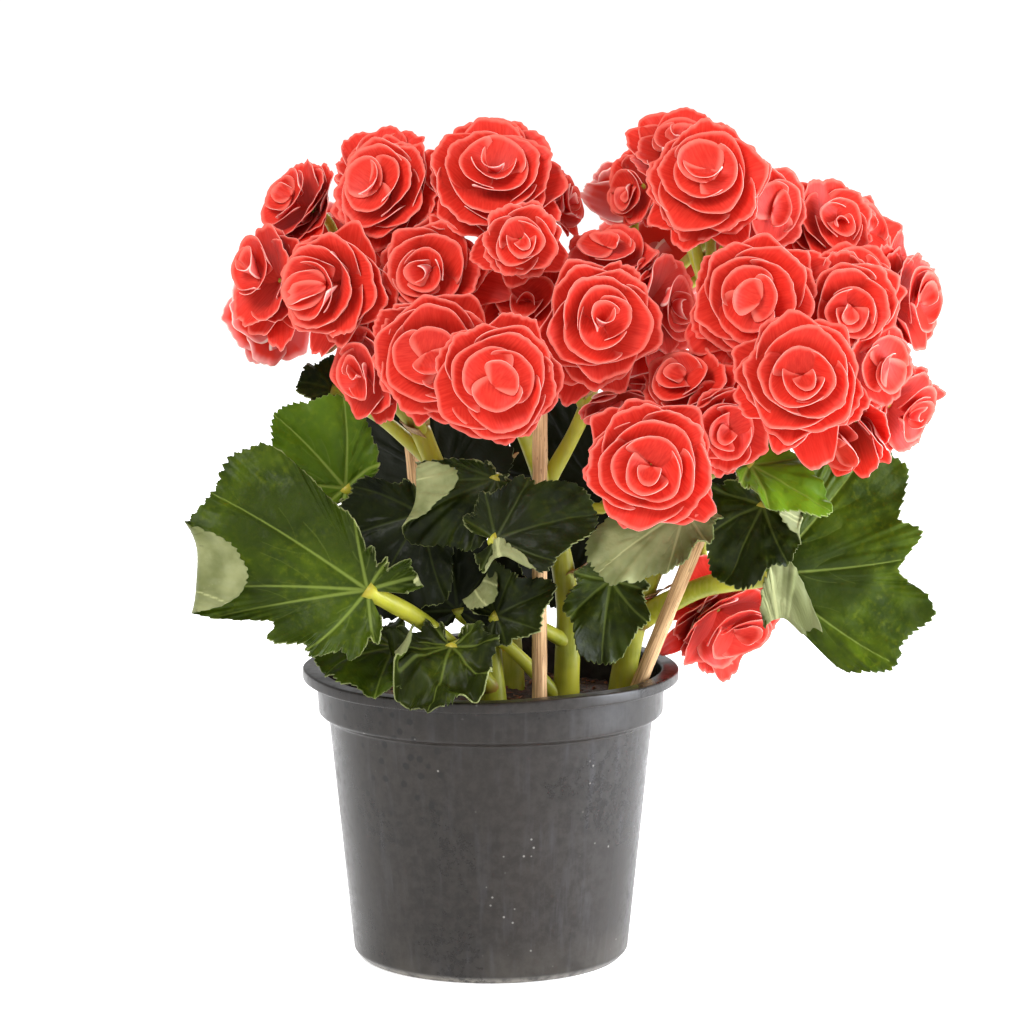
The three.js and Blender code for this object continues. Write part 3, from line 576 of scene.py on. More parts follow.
def petal_material():
    """Coral petals: pale crisp margins, pink towards the rim, painted shade in darker red from each petal's
    root where other petals cover it, and dull backs.
    """
    n = Nodes("petal")
    margin, deep, tint, under = (n.attribute(key) for key in ("margin", "deep", "tint", "under"))
    streak = n.noise(n.stretched((1, 0.1, 1), "flat"), 1.3, 4.0)
    cloud = n.noise(n.stretched(), 55.0, 2.0)
    coral = n.mix(n.ramp(streak, 0.3, 0.75, 0, 0.12), rgb(238, 62, 38), rgb(228, 76, 54))
    coral = n.mix(n.ramp(tint, 0, 1, 0, 0.35), coral, rgb(244, 90, 78))
    blush = n.times(n.ramp(margin, 3.4, 0.3), n.ramp(cloud, 0.36, 0.62, 0.4, 1.0))
    coral = n.mix(blush, coral, rgb(248, 190, 186))
    # Painted shade: darker red from each petal's root outwards, standing for the shade where the petals
    # inside it lie over it.
    coral = n.mix(n.times(deep, 0.7), coral, rgb(190, 22, 8))
    coral = n.mix(n.ramp(margin, 0.5, 0.2, 0, 0.92), coral, rgb(255, 232, 220))
    back = n.mix(n.ramp(streak, 0.3, 0.75), rgb(200, 42, 28), rgb(220, 62, 46))
    back = n.mix(n.ramp(margin, 1.6, 0.1, 0, 0.6), back, rgb(248, 140, 122))
    colour = n.mix(under, coral, back)
    fine = n.noise(n.stretched((1, 0.2, 1), "flat"), 3.0, 2.0)
    normal = n.bump(n.plus(streak, n.times(fine, 0.4)), 0.05, 0.0003)
    glow = n.mix(0.5, colour, rgb(255, 82, 62))
    values = {"Roughness": 0.5, "Sheen Weight": 0.04, "Sheen Roughness": 0.4, "Specular IOR Level": 0.22}
    return n.finish(n.thin(colour, glow, 0.36, normal, values))


def leaf_material():
    """Glossy dark green blades with fine pale veins, a thin pale toothed edge and a sage underside, all
    darkened by `dark`, which is painted shade on the leaves in the shaded middle and back of the plant.
    """
    n = Nodes("leaf")
    keys = ("vein", "margin", "under", "dark", "light")
    vein, margin, under, dark, light = (n.attribute(key) for key in keys)
    flat = n.stretched(attribute="flat")
    patch, mottle, shade = n.noise(flat, 0.07, 3.0), n.noise(flat, 0.4, 4.0), n.noise(flat, 0.035, 1.0)
    green = n.mix(n.ramp(patch, 0.3, 0.7), rgb(31, 40, 3), rgb(68, 83, 6))
    green = n.mix(n.ramp(mottle, 0.45, 0.75, 0, 0.5), green, rgb(94, 104, 12))
    green = n.mix(n.ramp(shade, 0.42, 0.62, 0, 0.75), green, rgb(26, 29, 6))
    green = n.mix(light, green, rgb(104, 142, 26))
    # Painted shade: `dark` takes a blade towards near black and fades its veins, standing for the shade that
    # the leaves in the middle and back of the plant lie in.
    green = n.mix(n.times(dark, 0.92), green, rgb(14, 17, 11))
    strength = n.times(n.ramp(vein, 0.2, 1, 0, 0.55), n.ramp(dark, 0.1, 0.8, 1, 0.12))
    green = n.mix(strength, green, rgb(132, 148, 66))
    rim = n.times(n.ramp(margin, 0.35, 0.1), n.ramp(patch, 0.42, 0.62, 0, 0.4))
    green = n.mix(rim, green, rgb(166, 176, 108))
    sage = n.mix(n.ramp(patch, 0.3, 0.7), rgb(98, 103, 62), rgb(136, 139, 96))
    sage = n.mix(n.ramp(vein, 0.2, 0.9, 0, 0.6), sage, rgb(176, 178, 126))
    # Painted shade on the undersides of the darkest leaves, which the back leaves turn to the front.
    sage = n.mix(n.ramp(dark, 0.8, 1.0), sage, rgb(26, 30, 16))
    colour = n.mix(under, green, sage)
    relief = n.plus(n.times(n.cells(flat, 0.8), 0.3), n.times(vein, -0.5))
    normal = n.bump(n.plus(relief, n.times(mottle, 0.5)), 0.4, 0.0006)
    # Painted shade also dims the light let through the darkest leaves.
    through = n.mix(dark, n.mix(under, rgb(110, 150, 24), rgb(150, 175, 70)), rgb(20, 26, 10))
    return n.finish(n.thin(colour, through, 0.16, normal, {"Roughness": 0.44, "Specular IOR Level": 0.1}))


def stem_material():
    """Smooth fleshy stems: yellow-green, with fine lengthwise fibres, brown nodes and papery bracts."""
    n = Nodes("stem")
    node = n.attribute("node")
    streak = n.noise(n.stretched((900, 900, 90)), 1.0, 3.0)
    patch = n.noise(n.stretched(), 60.0, 3.0)
    colour = n.mix(n.ramp(patch, 0.3, 0.7), rgb(124, 130, 22), rgb(174, 170, 48))
    colour = n.mix(n.ramp(streak, 0.35, 0.7, 0, 0.35), colour, rgb(160, 158, 78))
    brown = n.ramp(n.plus(node, n.times(patch, 0.3)), 0.5, 1.1, 0, 0.7)
    colour = n.mix(brown, colour, rgb(138, 82, 46))
    papery = n.mix(n.ramp(streak, 0.3, 0.7), rgb(128, 92, 54), rgb(176, 140, 92))
    colour = n.mix(n.ramp(node, 1.3, 1.5), colour, papery)
    normal = n.bump(streak, 0.2, 0.0003)
    return n.finish(n.skin(colour, normal, {
        "Roughness": 0.42, "Specular IOR Level": 0.25, "Subsurface Weight": 0.15,
        "Subsurface Radius": (0.002, 0.0015, 0.0005),
    }))


def stake_material():
    """Bare split wood: light tan with long fine grain and darker flecks."""
    n = Nodes("stake")
    grain = n.noise(n.stretched((1, 1, 0.03), "grain"), 1.8, 4.0, 0.6)
    fibre = n.noise(n.stretched((1, 1, 0.012), "grain"), 6.0, 3.0, 0.6)
    fleck = n.noise(n.stretched((1, 1, 0.2), "grain"), 1.1, 2.0)
    colour = n.mix(n.ramp(grain, 0.32, 0.68), rgb(150, 108, 64), rgb(214, 174, 124))
    colour = n.mix(n.ramp(fibre, 0.5, 0.75, 0, 0.5), colour, rgb(232, 200, 156))
    colour = n.mix(n.ramp(fleck, 0.62, 0.72, 0, 0.6), colour, rgb(112, 74, 42))
    normal = n.bump(n.plus(grain, fibre), 0.4, 0.0003)
    return n.finish(n.skin(colour, normal, {"Roughness": 0.7}))


def pot_material():
    """Thin charcoal plastic, satin: water spots at the left of the front, streaks, dust, wear and specks."""
    n = Nodes("pot")
    spot = n.stretched()
    cloud = n.noise(spot, 22.0, 4.0)
    mottle = n.noise(spot, 260.0, 5.0, 0.7)
    streak = n.noise(n.stretched((1, 1, 0.06)), 260.0, 4.0, 0.6)
    grain = n.noise(spot, 1600.0, 2.0)
    speck = n.ramp(n.cells(spot, 240.0), 0.14, 0.06)
    rare = n.ramp(n.noise(spot, 60.0, 1.0), 0.58, 0.66, 0, 0.5)
    wet = n.ramp(n.plus(n.cells(spot, 190.0), n.times(mottle, 0.3)), 0.46, 0.34)
    x, y, height = n.add("SeparateXYZ", {"Vector": spot}).outputs
    front_left = n.times(n.ramp(x, 0.0, -0.03), n.ramp(y, -0.01, -0.03))
    where = n.times(front_left, n.ramp(height, 0.045, 0.07, 0.1, 0.8))
    dust = n.times(n.ramp(height, 0.02, 0.0), n.ramp(cloud, 0.35, 0.75))
    worn = n.times(n.ramp(height, 0.0032, 0.0008), n.ramp(streak, 0.3, 0.6))
    colour = n.mix(n.ramp(cloud, 0.3, 0.7), rgb(19, 15, 12), rgb(30, 25, 21))
    colour = n.mix(n.ramp(mottle, 0.35, 0.68, 0, 0.6), colour, rgb(46, 42, 38))
    colour = n.mix(n.ramp(streak, 0.5, 0.8, 0, 0.3), colour, rgb(66, 65, 68))
    colour = n.mix(n.times(wet, where), colour, rgb(10, 9, 8))
    colour = n.mix(n.times(dust, 0.3), colour, rgb(104, 98, 88))
    colour = n.mix(n.times(worn, 0.6), colour, rgb(140, 134, 124))
    colour = n.mix(n.times(speck, rare), colour, rgb(150, 146, 140))
    rough = n.plus(n.ramp(cloud, 0.3, 0.7, 0.24, 0.34), n.ramp(mottle, 0.4, 0.7, 0, 0.12))
    relief = n.plus(n.times(grain, 0.12), n.plus(streak, mottle))
    normal = n.bump(relief, 0.06, 0.0004)
    return n.finish(n.skin(colour, normal, {"Roughness": rough, "Specular IOR Level": 0.26}))


def soil_material():
    """Dark potting soil with reddish-brown fibres and bits."""
    n = Nodes("soil")
    clod = n.noise(n.stretched(), 220.0, 5.0, 0.7)
    fine = n.noise(n.stretched(), 1400.0, 3.0, 0.7)
    colour = n.mix(n.ramp(clod, 0.3, 0.7), rgb(34, 24, 18), rgb(74, 52, 36))
    colour = n.mix(n.ramp(fine, 0.6, 0.75, 0, 0.6), colour, rgb(120, 84, 52))
    colour = n.mix(n.attribute("bit"), colour, rgb(128, 84, 50))
    normal = n.bump(n.plus(clod, n.times(fine, 0.5)), 0.8, 0.0012)
    return n.finish(n.skin(colour, normal, {"Roughness": 0.92}))


# ---- pot, soil and stakes ----


def lathe(shape, profile, sides, wobble):
    """Turns a profile of (radius, height) points about the pot's axis, where it starts and ends."""
    profile, angle = np.array(profile, float), round_angles(sides)
    radius, height = wobble(profile[:, :1] * np.ones(sides), profile[:, 1:] * np.ones(sides), angle[None, :])
    points = np.stack([radius * np.cos(angle), radius * np.sin(angle), height], -1)
    shape.add(points, tube_faces(len(profile), sides))


def fine_profile(corners, step):
    """The profile with extra points, no further apart than the step."""
    corners = np.array(corners, float)
    points = [corners[0]]
    for a, b in zip(corners, corners[1:]):
        pieces = max(1, math.ceil(np.linalg.norm(b - a) / step))
        points += [a + (b - a) * (i + 1) / pieces for i in range(pieces)]
    return np.array(points)


def rounded(corners, radius):
    """The profile with its inner corners rounded off to at most the radius."""
    corners = np.array(corners, float)
    points = [corners[0]]
    for a, b, c in zip(corners, corners[1:], corners[2:]):
        room = min(radius, 0.45 * np.linalg.norm(b - a), 0.45 * np.linalg.norm(c - b))
        start, end = b + unit(a - b) * room, b + unit(c - b) * room
        points += list(bent_line(start, b, end, np.linspace(0, 1, 7)[:, None]))
    points.append(corners[-1])
    return np.array(points)


def pot_profile():
    """The pot's outline from the middle of its underside, up the outside, over the lip and down inside."""
    foot, corner, wall = POT["foot_radius"], POT["corner_radius"], POT["wall"]
    collar, lip, top = POT["collar_radius"], POT["lip_radius"], POT["height"]
    ledge, rise, flare = POT["ledge_height"], POT["collar_rise"], POT["collar_flare"]
    body, under_lip, soft = POT["body_top"], top - POT["lip_height"], POT["lip_round"]
    outside = [
        (0.01, 0), (foot, 0), (foot + corner, corner), (body, ledge), (collar, ledge + rise),
        (collar + flare, under_lip), (lip, under_lip), (lip, top), (collar - soft / 2, top),
    ]
    inside = [
        (collar + flare - wall, top - 2 * soft), (collar - wall, ledge + rise),
        (body - wall, ledge), (foot + corner - wall, POT["floor"] + corner / 2),
        (foot - wall, POT["floor"]), (0.01, POT["floor"]),
    ]
    return fine_profile(rounded(outside + inside, 0.9), 2.5)


def uneven_pot(radius, height, angle):
    """Thin plastic is never quite round: the lip sags and swells a little."""
    swell = 0.0022 * np.sin(2 * angle + 0.6) + 0.0012 * np.sin(5 * angle)
    sag = 0.35 * np.sin(3 * angle + 1.1) + 0.2 * np.sin(7 * angle)
    top = POT["height"]
    radius = radius * (1 + swell * smooth(top - 50, top, height))
    return radius, height - np.clip(smooth(top - 10, top, height) * (sag + 0.5), 0, 1)


def hole_cutter(number):
    """A round bar that stands through the pot's floor where a drain hole is."""
    angle = number / POT["holes"] * 2 * math.pi
    x, y = POT["hole_circle"] * math.cos(angle), POT["hole_circle"] * math.sin(angle)
    bpy.ops.mesh.primitive_cylinder_add(
        vertices=POT["hole_sides"],
        radius=POT["hole_radius"] * MM,
        depth=POT["cutter_length"] * MM,
        location=(x * MM, y * MM, 0),
    )
    return bpy.context.object


def make_pot(material):
    """The pot, with its drain holes cut."""
    shape = Shape()
    lathe(shape, pot_profile(), POT["sides"], uneven_pot)
    pot = place("nursery_pot", shape, material, "pot", "pot")
    cutters = [hole_cutter(number) for number in range(POT["holes"])]
    for cutter in cutters:
        cut = pot.modifiers.new("drain_hole", "BOOLEAN")
        cut.operation, cut.solver, cut.object = "DIFFERENCE", "EXACT", cutter
    bpy.context.view_layer.update()
    whole = pot.evaluated_get(bpy.context.evaluated_depsgraph_get())
    mesh = bpy.data.meshes.new_from_object(whole)
    pot.modifiers.clear()
    pot.data = mesh
    for cutter in cutters:
        bpy.data.objects.remove(cutter)


def soil_height(x, y):
    """The lumpy surface of the soil, a little higher in the middle."""
    radius = np.hypot(x, y)
    height = SOIL["height"] + SOIL["mound"] * (1 - (radius / POT["collar_radius"]) ** 2)
    draw = np.random.default_rng(SOIL["lump_seed"])
    for pitch, amount in ((0.16, 0.5), (0.33, 0.35), (0.8, 0.25), (1.7, 0.2), (3.1, 0.14)):
        for _ in range(4):
            turn, phase = draw.uniform(0, 2 * math.pi), draw.uniform(0, 2 * math.pi)
            height = height + amount * 0.6 * np.sin((x * math.cos(turn) + y * math.sin(turn)) * pitch + phase)
    return height


def add_fill(shape, inside):
    """The body of the soil: a lumpy surface over the fill of the pot."""
    sides, gap = SOIL["sides"], SOIL["body_gap"]
    angle = round_angles(sides)
    radii = inside * np.linspace(0.002, 1, SOIL["rings"])[:, None]
    x, y = radii * np.cos(angle), radii * np.sin(angle)
    top = np.stack([x, y, soil_height(x, y)], -1)[::-1]
    body, foot, bottom = POT["body_top"] - POT["wall"] - gap, POT["foot_radius"] + 1, POT["floor"] + gap
    lower = [
        (0.01, bottom), (foot, bottom), (foot, SOIL["foot_height"]), (body, POT["ledge_height"]),
        (inside, SOIL["shoulder"]),
    ]
    rings = [[(r * math.cos(a), r * math.sin(a), z) for a in angle] for r, z in lower]
    points = np.concatenate([np.array(rings), top])
    shape.add(points, tube_faces(len(points), sides), bit=0.0)


def add_bits(shape, inside):
    """Bits of bark and fibre that lie on the soil."""
    draw = np.random.default_rng(SOIL["bit_seed"])
    for _ in range(SOIL["bits"]):
        distance, turn = inside * 0.97 * math.sqrt(draw.uniform()), draw.uniform(0, 2 * math.pi)
        x, y = distance * math.cos(turn), distance * math.sin(turn)
        length, way = draw.uniform(1.2, 4.5), draw.uniform(0, math.pi)
        step = np.array((math.cos(way), math.sin(way), draw.uniform(-0.3, 0.3))) * length / 2
        centre = np.array((x, y, soil_height(x, y) + 0.2))
        run = np.array([centre - step, centre, centre + step])
        width = draw.uniform(0.25, 0.9)
        add_tube(shape, run, [width * 0.5, width, width * 0.4], 6, bit=draw.uniform(0, 1))


def make_soil(material):
    """The soil that fills the pot to a little under the rim."""
    shape = Shape()
    inside = POT["collar_radius"] - POT["wall"] - SOIL["collar_gap"]
    add_fill(shape, inside)
    add_bits(shape, inside)
    place("potting_soil", shape, material, "soil", "soil")


def make_stakes(material):
    """Round sticks with rough sawn ends. `grain` runs along the stick in its Z."""
    radius, rows, sides = STAKE["radius"], STAKE["rows"], STAKE["sides"]
    share, angle = np.linspace(0, 1, rows), round_angles(sides)
    for seed, (name, (foot, top)) in enumerate(STAKES.items()):
        foot, top = np.array(foot, float), np.array(top, float)
        length = np.linalg.norm(top - foot)
        aside = unit(np.cross(top - foot, (0.3, 1, 0.2))) * STAKE["bow"]
        points = foot + (top - foot) * share[:, None] + np.sin(share * math.pi)[:, None] * aside
        rough = 1 + 0.025 * ripple(share[:, None] * length * 0.12 + angle, (2, 5), seed)
        rough = rough + 0.012 * ripple(angle[None, :] * np.ones((rows, 1)), (3, 7, 9), seed + 5)
        edge = np.minimum(share, 1 - share) * length
        radii = radius * rough * (0.93 + 0.07 * smooth(0, STAKE["worn_end"], edge))[:, None]
        x, y = np.cos(angle) * radius + seed * 20, np.sin(angle) * radius
        grain = np.stack(np.broadcast_arrays(x, y, share[:, None] * length), -1).reshape(-1, 3)
        shape = Shape()
        add_tube(shape, points, radii, sides, grain=grain)
        place("wooden_" + name, shape, material, "stake", name)


# ---- stems ----


def limb_point(stem, limb, share):
    """The point at a share of a limb's length."""
    run = smooth_curve(STEMS[stem][limb][0], CURVE["limb_steps"] + 1)
    return run[round(share * CURVE["limb_steps"])]


def bloom_axis(bloom):
    """The middle of a bloom's back and the direction that it looks."""
    _, at, size, face, *_ = bloom
    direction = facing(*face)
    return np.array(at) - direction * size / 2, direction


def bloom_stalk(bloom):
    """The run of points of a bloom's stalk, from its limb to the bloom's back."""
    stem, limb = bloom[6:]
    mates = [mate for mate in BLOOMS if mate[6:] == (stem, limb)]
    share = (mates.index(bloom) + 1) / len(mates)
    share = STALK["first_share"] + (STALK["last_share"] - STALK["first_share"]) * share
    back, direction = bloom_axis(bloom)
    return [limb_point(stem, limb, share), back - direction * STALK["neck"], back + direction * 1.5]


def leaf_stalk(leaf):
    """The run of points of a leaf's stalk, from its stem to the blade's base."""
    _, at, tip, face, *_, stem, share = leaf
    start = limb_point(stem, 0, share)
    along = unit(np.array(tip, float) - at)
    end = np.array(at) - along * STALK["leaf_radius"] * 0.4 - facing(*face) * STALK["leaf_radius"] * 0.8
    where, lift = STALK["leaf_bow"]
    bow = start + (end - start) * where + np.array((0, 0, lift * np.linalg.norm(end - start)))
    return [start, bow, end, end + (np.array(at) - end) * 0.6 + along * 1.5]


def add_stalk(shape, points, root, tip, sides, seed):
    """A tapering fleshy stalk with a swelling where it leaves its limb."""
    way = np.linalg.norm(np.diff(points, axis=0), axis=1).sum()
    run = smooth_curve(points, max(12, int(way / STALK["step"])))
    share = np.linspace(0, 1, len(run))
    length = np.linalg.norm(np.diff(run, axis=0), axis=1).sum()
    swell = np.exp(-((share * length / (root * 1.6)) ** 2))
    end = np.exp(-(((1 - share) * length / (tip * 1.4)) ** 2))
    radii = (root + (tip - root) * share) * (1 + 0.22 * swell + 0.1 * end)
    radii *= 1 + 0.03 * ripple(share * length * 0.1, (1.3, 2.9), seed)
    ribs = 1 + 0.035 * np.cos(round_angles(sides) * 3 + seed)
    add_tube(shape, run, radii[:, None] * ribs, sides, node=np.maximum(swell, end * 0.6))


# Dry bracts where limbs part: the stem, the limb and the share of its length, the way that the bract
# points (degrees right of the front, degrees up), its length and half its width in millimetres.
BRACTS = [
    ("stem_left", 0, 0.97, (-60, 30), 13, 4), ("stem_left", 0, 0.6, (60, 35), 12, 4),
    ("stem_left", 1, 0.8, (-70, -40), 12, 4), ("stem_left", 2, 0.5, (40, 40), 11, 3.5),
    ("stem_front", 0, 0.96, (-50, 35), 13, 4), ("stem_front", 0, 0.7, (70, 30), 12, 4),
    ("stem_front", 3, 0.6, (60, 45), 11, 3.5), ("stem_right", 0, 0.55, (70, 25), 15, 5),
    ("stem_right", 0, 0.75, (-70, 30), 13, 4), ("stem_right", 0, 0.95, (50, 20), 14, 4.5),
    ("stem_right", 2, 0.6, (-40, 45), 12, 4), ("stem_back", 0, 0.9, (60, 30), 13, 4),
]


def add_bract(shape, bract, seed):
    """A small pointed papery sheet, hollowed along its middle and curling back at its tip."""
    stem, limb, share, way, length, half = bract
    along = facing(*way)
    up = unit(np.array((0, 0, 1.0)) - along * along[2])
    across = np.cross(up, along)
    t = np.linspace(0, 1, 14)[:, None]
    u = np.linspace(-1, 1, 11)[None, :]
    width = half * np.sin(np.clip(t * 0.93 + 0.07, 0, 1) ** 0.7 * math.pi) + 0.05
    side = u * width * (1 + 0.08 * ripple(t * 9, (1.0, 2.1), seed))
    height = 0.22 * side**2 / half + 0.12 * length * t**2 + 0.25 * ripple(t * 8 + u * 2, (1.0, 1.8), seed)
    start = limb_point(stem, limb, share)
    sheet = start + along * (t * length * np.ones_like(u))[..., None] + across * side[..., None]
    add_sheet(shape, sheet + up * height[..., None], 0.3, node=np.full(side.shape, 1.6))
    del shape.attributes["under"]


def make_stems(material):
    """Each stem with its bracts, limbs, bloom stalks and leaf stalks."""
    flare = STALK["root_flare"]
    for name, limbs in STEMS.items():
        shape = Shape()
        for i, bract in enumerate(bract for bract in BRACTS if bract[0] == name):
            add_bract(shape, bract, i)
        for i, (points, root, tip) in enumerate(limbs):
            add_stalk(shape, points, root, tip, STALK["limb_sides"], i)
        for i, bloom in enumerate(bloom for bloom in BLOOMS if bloom[6] == name):
            radius = STALK["bloom_radius"]
            add_stalk(shape, bloom_stalk(bloom), radius * flare, radius, STALK["bloom_sides"], i + 20)
        for i, leaf in enumerate(leaf for leaf in LEAVES if leaf[8] == name):
            radius = STALK["leaf_radius"] * leaf_look(leaf)["stalk"]
            add_stalk(shape, leaf_stalk(leaf), radius * flare, radius, STALK["leaf_sides"], i + 60)
        place("branching_" + name, shape, material, "stem", name)


# ---- leaves ----


def lobe_length(lobes, share):
    """The blade's length at each share of the way round, by joining its lobes smoothly."""
    spot = share * (len(lobes) - 1)
    low = np.minimum(spot.astype(int), len(lobes) - 2)
    blend = (1 - np.cos((spot - low) * math.pi)) / 2
    lobes = np.array(lobes)
    return lobes[low] * (1 - blend) + lobes[low + 1] * blend


def saw(turns, lean=0.72):
    """Teeth from 0 at a notch to 1 at a sharp point, with a bulging back."""
    turns = turns % 1
    return np.where(turns < lean, (turns / lean) ** 0.75, (1 - turns) / (1 - lean))


def toothed(share, outline, length, teeth, seed):
    """How far the edge draws in, in shares of the length: large teeth, then a double row of fine ones.

    The points lean towards the blade's tip, so each half is measured from the tip outwards.
    """
    steps = np.hypot(np.gradient(outline, axis=1), outline * math.radians(BLADE["span"]) / share.size)
    run = np.cumsum(steps, axis=1) * length
    middle = run[0, share.size // 2]
    from_tip = np.abs(run - middle)
    uneven = 0.35 * ripple(share * 40, (1.0, 2.3), seed)
    large = BLADE["tooth_depth"] * (1 - saw(np.where(share < 0.5, share, 1 - share) * teeth, 0.6))
    pitch = BLADE["serration"] * (0.7 + 0.005 * length)
    fine = (1 - saw(-from_tip / pitch + uneven)) * (0.9 + 0.3 * ripple(share * 30, (1.0, 2.0), seed + 3))
    finest = 1 - saw(-from_tip * 3.1 / pitch)
    return 0.75 * large + (0.5 * fine + 0.14 * finest) * pitch / length


def vein_runs(outline, length, seed, turns):
    """Veins in the flat blade: rays from its base, each with side veins that fork off towards the edge.

    The rays are evenly spread, and one more goes into the flap at each of the turns.
    """
    draw = np.random.default_rng(seed)
    span, points = BLADE["span"], VEINS["ray_points"]
    rays = [*np.linspace(*VEINS["ray_ends"], VEINS["rays"]), *(0.5 - turn / span for turn in turns)]
    runs = []
    for ray in rays:
        reach = length * outline[0, round(ray * (outline.shape[1] - 1))] * 0.96
        t = np.linspace(0, 1, points)
        turn = math.radians(span) * (0.5 - ray) + draw.uniform(-0.12, 0.12) * t**2
        path = np.column_stack([np.cos(turn), np.sin(turn)]) * (t * reach)[:, None]
        runs.append((path, 1.0))
        for i, start in enumerate(np.linspace(*VEINS["side_ends"], VEINS["side_veins"])):
            side = 1 if i % 2 else -1
            spot = int(start * (points - 1))
            way = turn[spot] + side * draw.uniform(0.5, 0.75)
            s = np.linspace(0, 1, 4) * reach * (1 - start * 0.72) * draw.uniform(0.3, 0.42)
            curl = way - side * 0.25 * (s / max(s[-1], 1e-6))
            fork = path[spot] + np.column_stack([np.cos(curl), np.sin(curl)]) * s[:, None]
            runs.append((fork, VEINS["side_weight"]))
    return runs


def vein_strength(flat, runs, length):
    """How near each flat point is to a vein: a fine line for its colour and a wide channel for its form."""
    line, channel = np.zeros(flat.shape[:-1]), np.zeros(flat.shape[:-1])
    for path, weight in runs:
        for start, end in zip(path, path[1:]):
            leg = end - start
            rel = flat - start
            t = np.clip((rel @ leg) / max(leg @ leg, 1e-9), 0, 1)
            gap = np.linalg.norm(rel - t[..., None] * leg, axis=-1)
            near_base = np.clip(1 - np.linalg.norm(start) / length, 0, 1)
            width = (VEINS["fine"] + VEINS["swell"] * near_base**1.5) * (0.5 + 0.5 * weight)
            line = np.maximum(line, np.exp(-((gap / width) ** 2)) * weight)
            channel = np.maximum(channel, np.exp(-((gap / (VEINS["channel"] + width)) ** 2)) * weight)
    return line, channel


def fold_over(flat, height, aside, length, turn, start, angle, spread):
    """Folds a sheet over: past a line it bends round and lies back over itself.

    The line curves away beyond the spread, in degrees to either side as seen from the blade's base.
    """
    way = np.array((math.cos(math.radians(turn)), math.sin(math.radians(turn))))
    curve = ((aside - turn) / spread) ** 4 * BLADE["fold_curve"]
    past = flat @ way - (start + curve) * length
    bend, full = BLADE["fold_radius"], math.radians(angle)
    bent = np.clip(past / bend, 0, full)
    after = np.maximum(past - bend * full, 0)
    moved = bend * np.sin(bent) + after * math.cos(full) - np.maximum(past, 0)
    lift = bend * (1 - np.cos(bent)) + after * math.sin(full)
    return flat + moved[..., None] * way, height * np.cos(bent) + lift


def crumple(flat, seed):
    """An uneven field over the flat blade, of dents and swellings a few millimetres wide."""
    draw = np.random.default_rng(seed)
    total = np.zeros(flat.shape[:-1])
    for pitch, amount in ((0.16, 1.0), (0.3, 0.6), (0.55, 0.35), (0.95, 0.2)):
        for _ in range(3):
            turn, phase = draw.uniform(0, 2 * math.pi), draw.uniform(0, 2 * math.pi)
            total += amount * np.sin((flat @ np.array((math.cos(turn), math.sin(turn)))) * pitch + phase)
    return total


def blade_frame(leaf):
    """A blade's base, its axes along, across and up, and the distance from its base to its tip."""
    _, at, tip, face, *_ = leaf
    at, tip = np.array(at, float), np.array(tip, float)
    along = unit(tip - at)
    up = facing(*face)
    up = unit(up - along * up.dot(along))
    return at, along, np.cross(up, along), up, np.linalg.norm(tip - at)


def leaf_sheet(leaf, look, seed):
    """The blade's upper face as a grid from its base outwards, with its flat places, veins and margin."""
    lobes, cup, droop, teeth = leaf[4:8]
    at, along, across, up, length = blade_frame(leaf)
    columns = int(np.clip(length * BLADE["columns_per_mm"], *BLADE["columns"]))
    share = np.linspace(0, 1, columns)[None, :]
    ring = np.linspace(0.004, 1, BLADE["outward"])[:, None]
    angle = math.radians(BLADE["span"]) * (0.5 - share)
    aside = np.degrees(angle)
    outline = lobe_length(lobes, share) * look["grow"]
    for turn, spread, extra in look["flaps"]:
        outline = outline + extra * np.exp(-(((aside - turn) / spread) ** 2))
    drawn_in = toothed(share, outline, length, teeth, seed) * smooth(0.6, 1, ring) / outline
    reach = length * ring * outline * (1 - np.clip(drawn_in, 0, 0.5))
    flat = np.stack([np.cos(angle) * reach, np.sin(angle) * reach], -1)
    runs = vein_runs(outline, length, seed, [fold[0] for fold in look["folds"]])
    veins, channels = vein_strength(flat, runs, length)
    wave = np.sin(share * 2 * math.pi * BLADE["waves"] + seed) * BLADE["wave"] * ring**2
    bend = droop * (np.maximum(flat[..., 0], 0) / length) ** 2
    height = length * (cup * ring**2 * np.sin(angle) ** 2 + wave - bend)
    height = height + BLADE["vein_ridge"] * (1 - channels) * smooth(0, 0.3, ring)
    ruffle = ripple(share * length * outline * 1.2 + ring * 3, (0.5, 0.9, 1.7), seed)
    height = height + look["dents"] * crumple(flat, seed) * ring + look["ruffle"] * ruffle * ring**3
    margin = np.minimum((1 - ring) * outline * length, BLADE["widest_margin"])
    bent = flat
    for fold in look["folds"]:
        bent, height = fold_over(bent, height, aside, length, *fold)
    points = at + along * bent[..., :1] + across * bent[..., 1:] + up * height[..., None]
    return points, flat, veins, margin


def make_leaves(material):
    """Each leaf's blade. Its pattern starts at a place of its own, so that no two are alike."""
    for seed, leaf in enumerate(LEAVES):
        look = leaf_look(leaf)
        points, flat, veins, margin = leaf_sheet(leaf, look, seed)
        # A blade's dark, which is painted shade on the leaves in the shaded middle and back of the plant, and
        # its light tone go onto its points.
        tones_and_painted_shade = {key: np.full(veins.shape, look[key]) for key in ("dark", "light")}
        shape = Shape()
        add_sheet(shape, points, BLADE["thickness"], look["flip"], vein=veins, margin=margin, **tones_and_painted_shade)
        add_flat(shape, flat + seed * 90)
        place("toothed_" + leaf[0], shape, material, "leaf", leaf[0])


# ---- blooms ----

PETAL = {
    "columns": 49,
    "rows": 17,
    "thickness": 0.22,
    "roundness": 0.52,
    "skew": 0.06,
    "root_width": 0.16,
    "bowl": 0.05,
    "whorl_stray": 9,
    "heart_stray": 8,
    "heart_frill": 0.012,
}
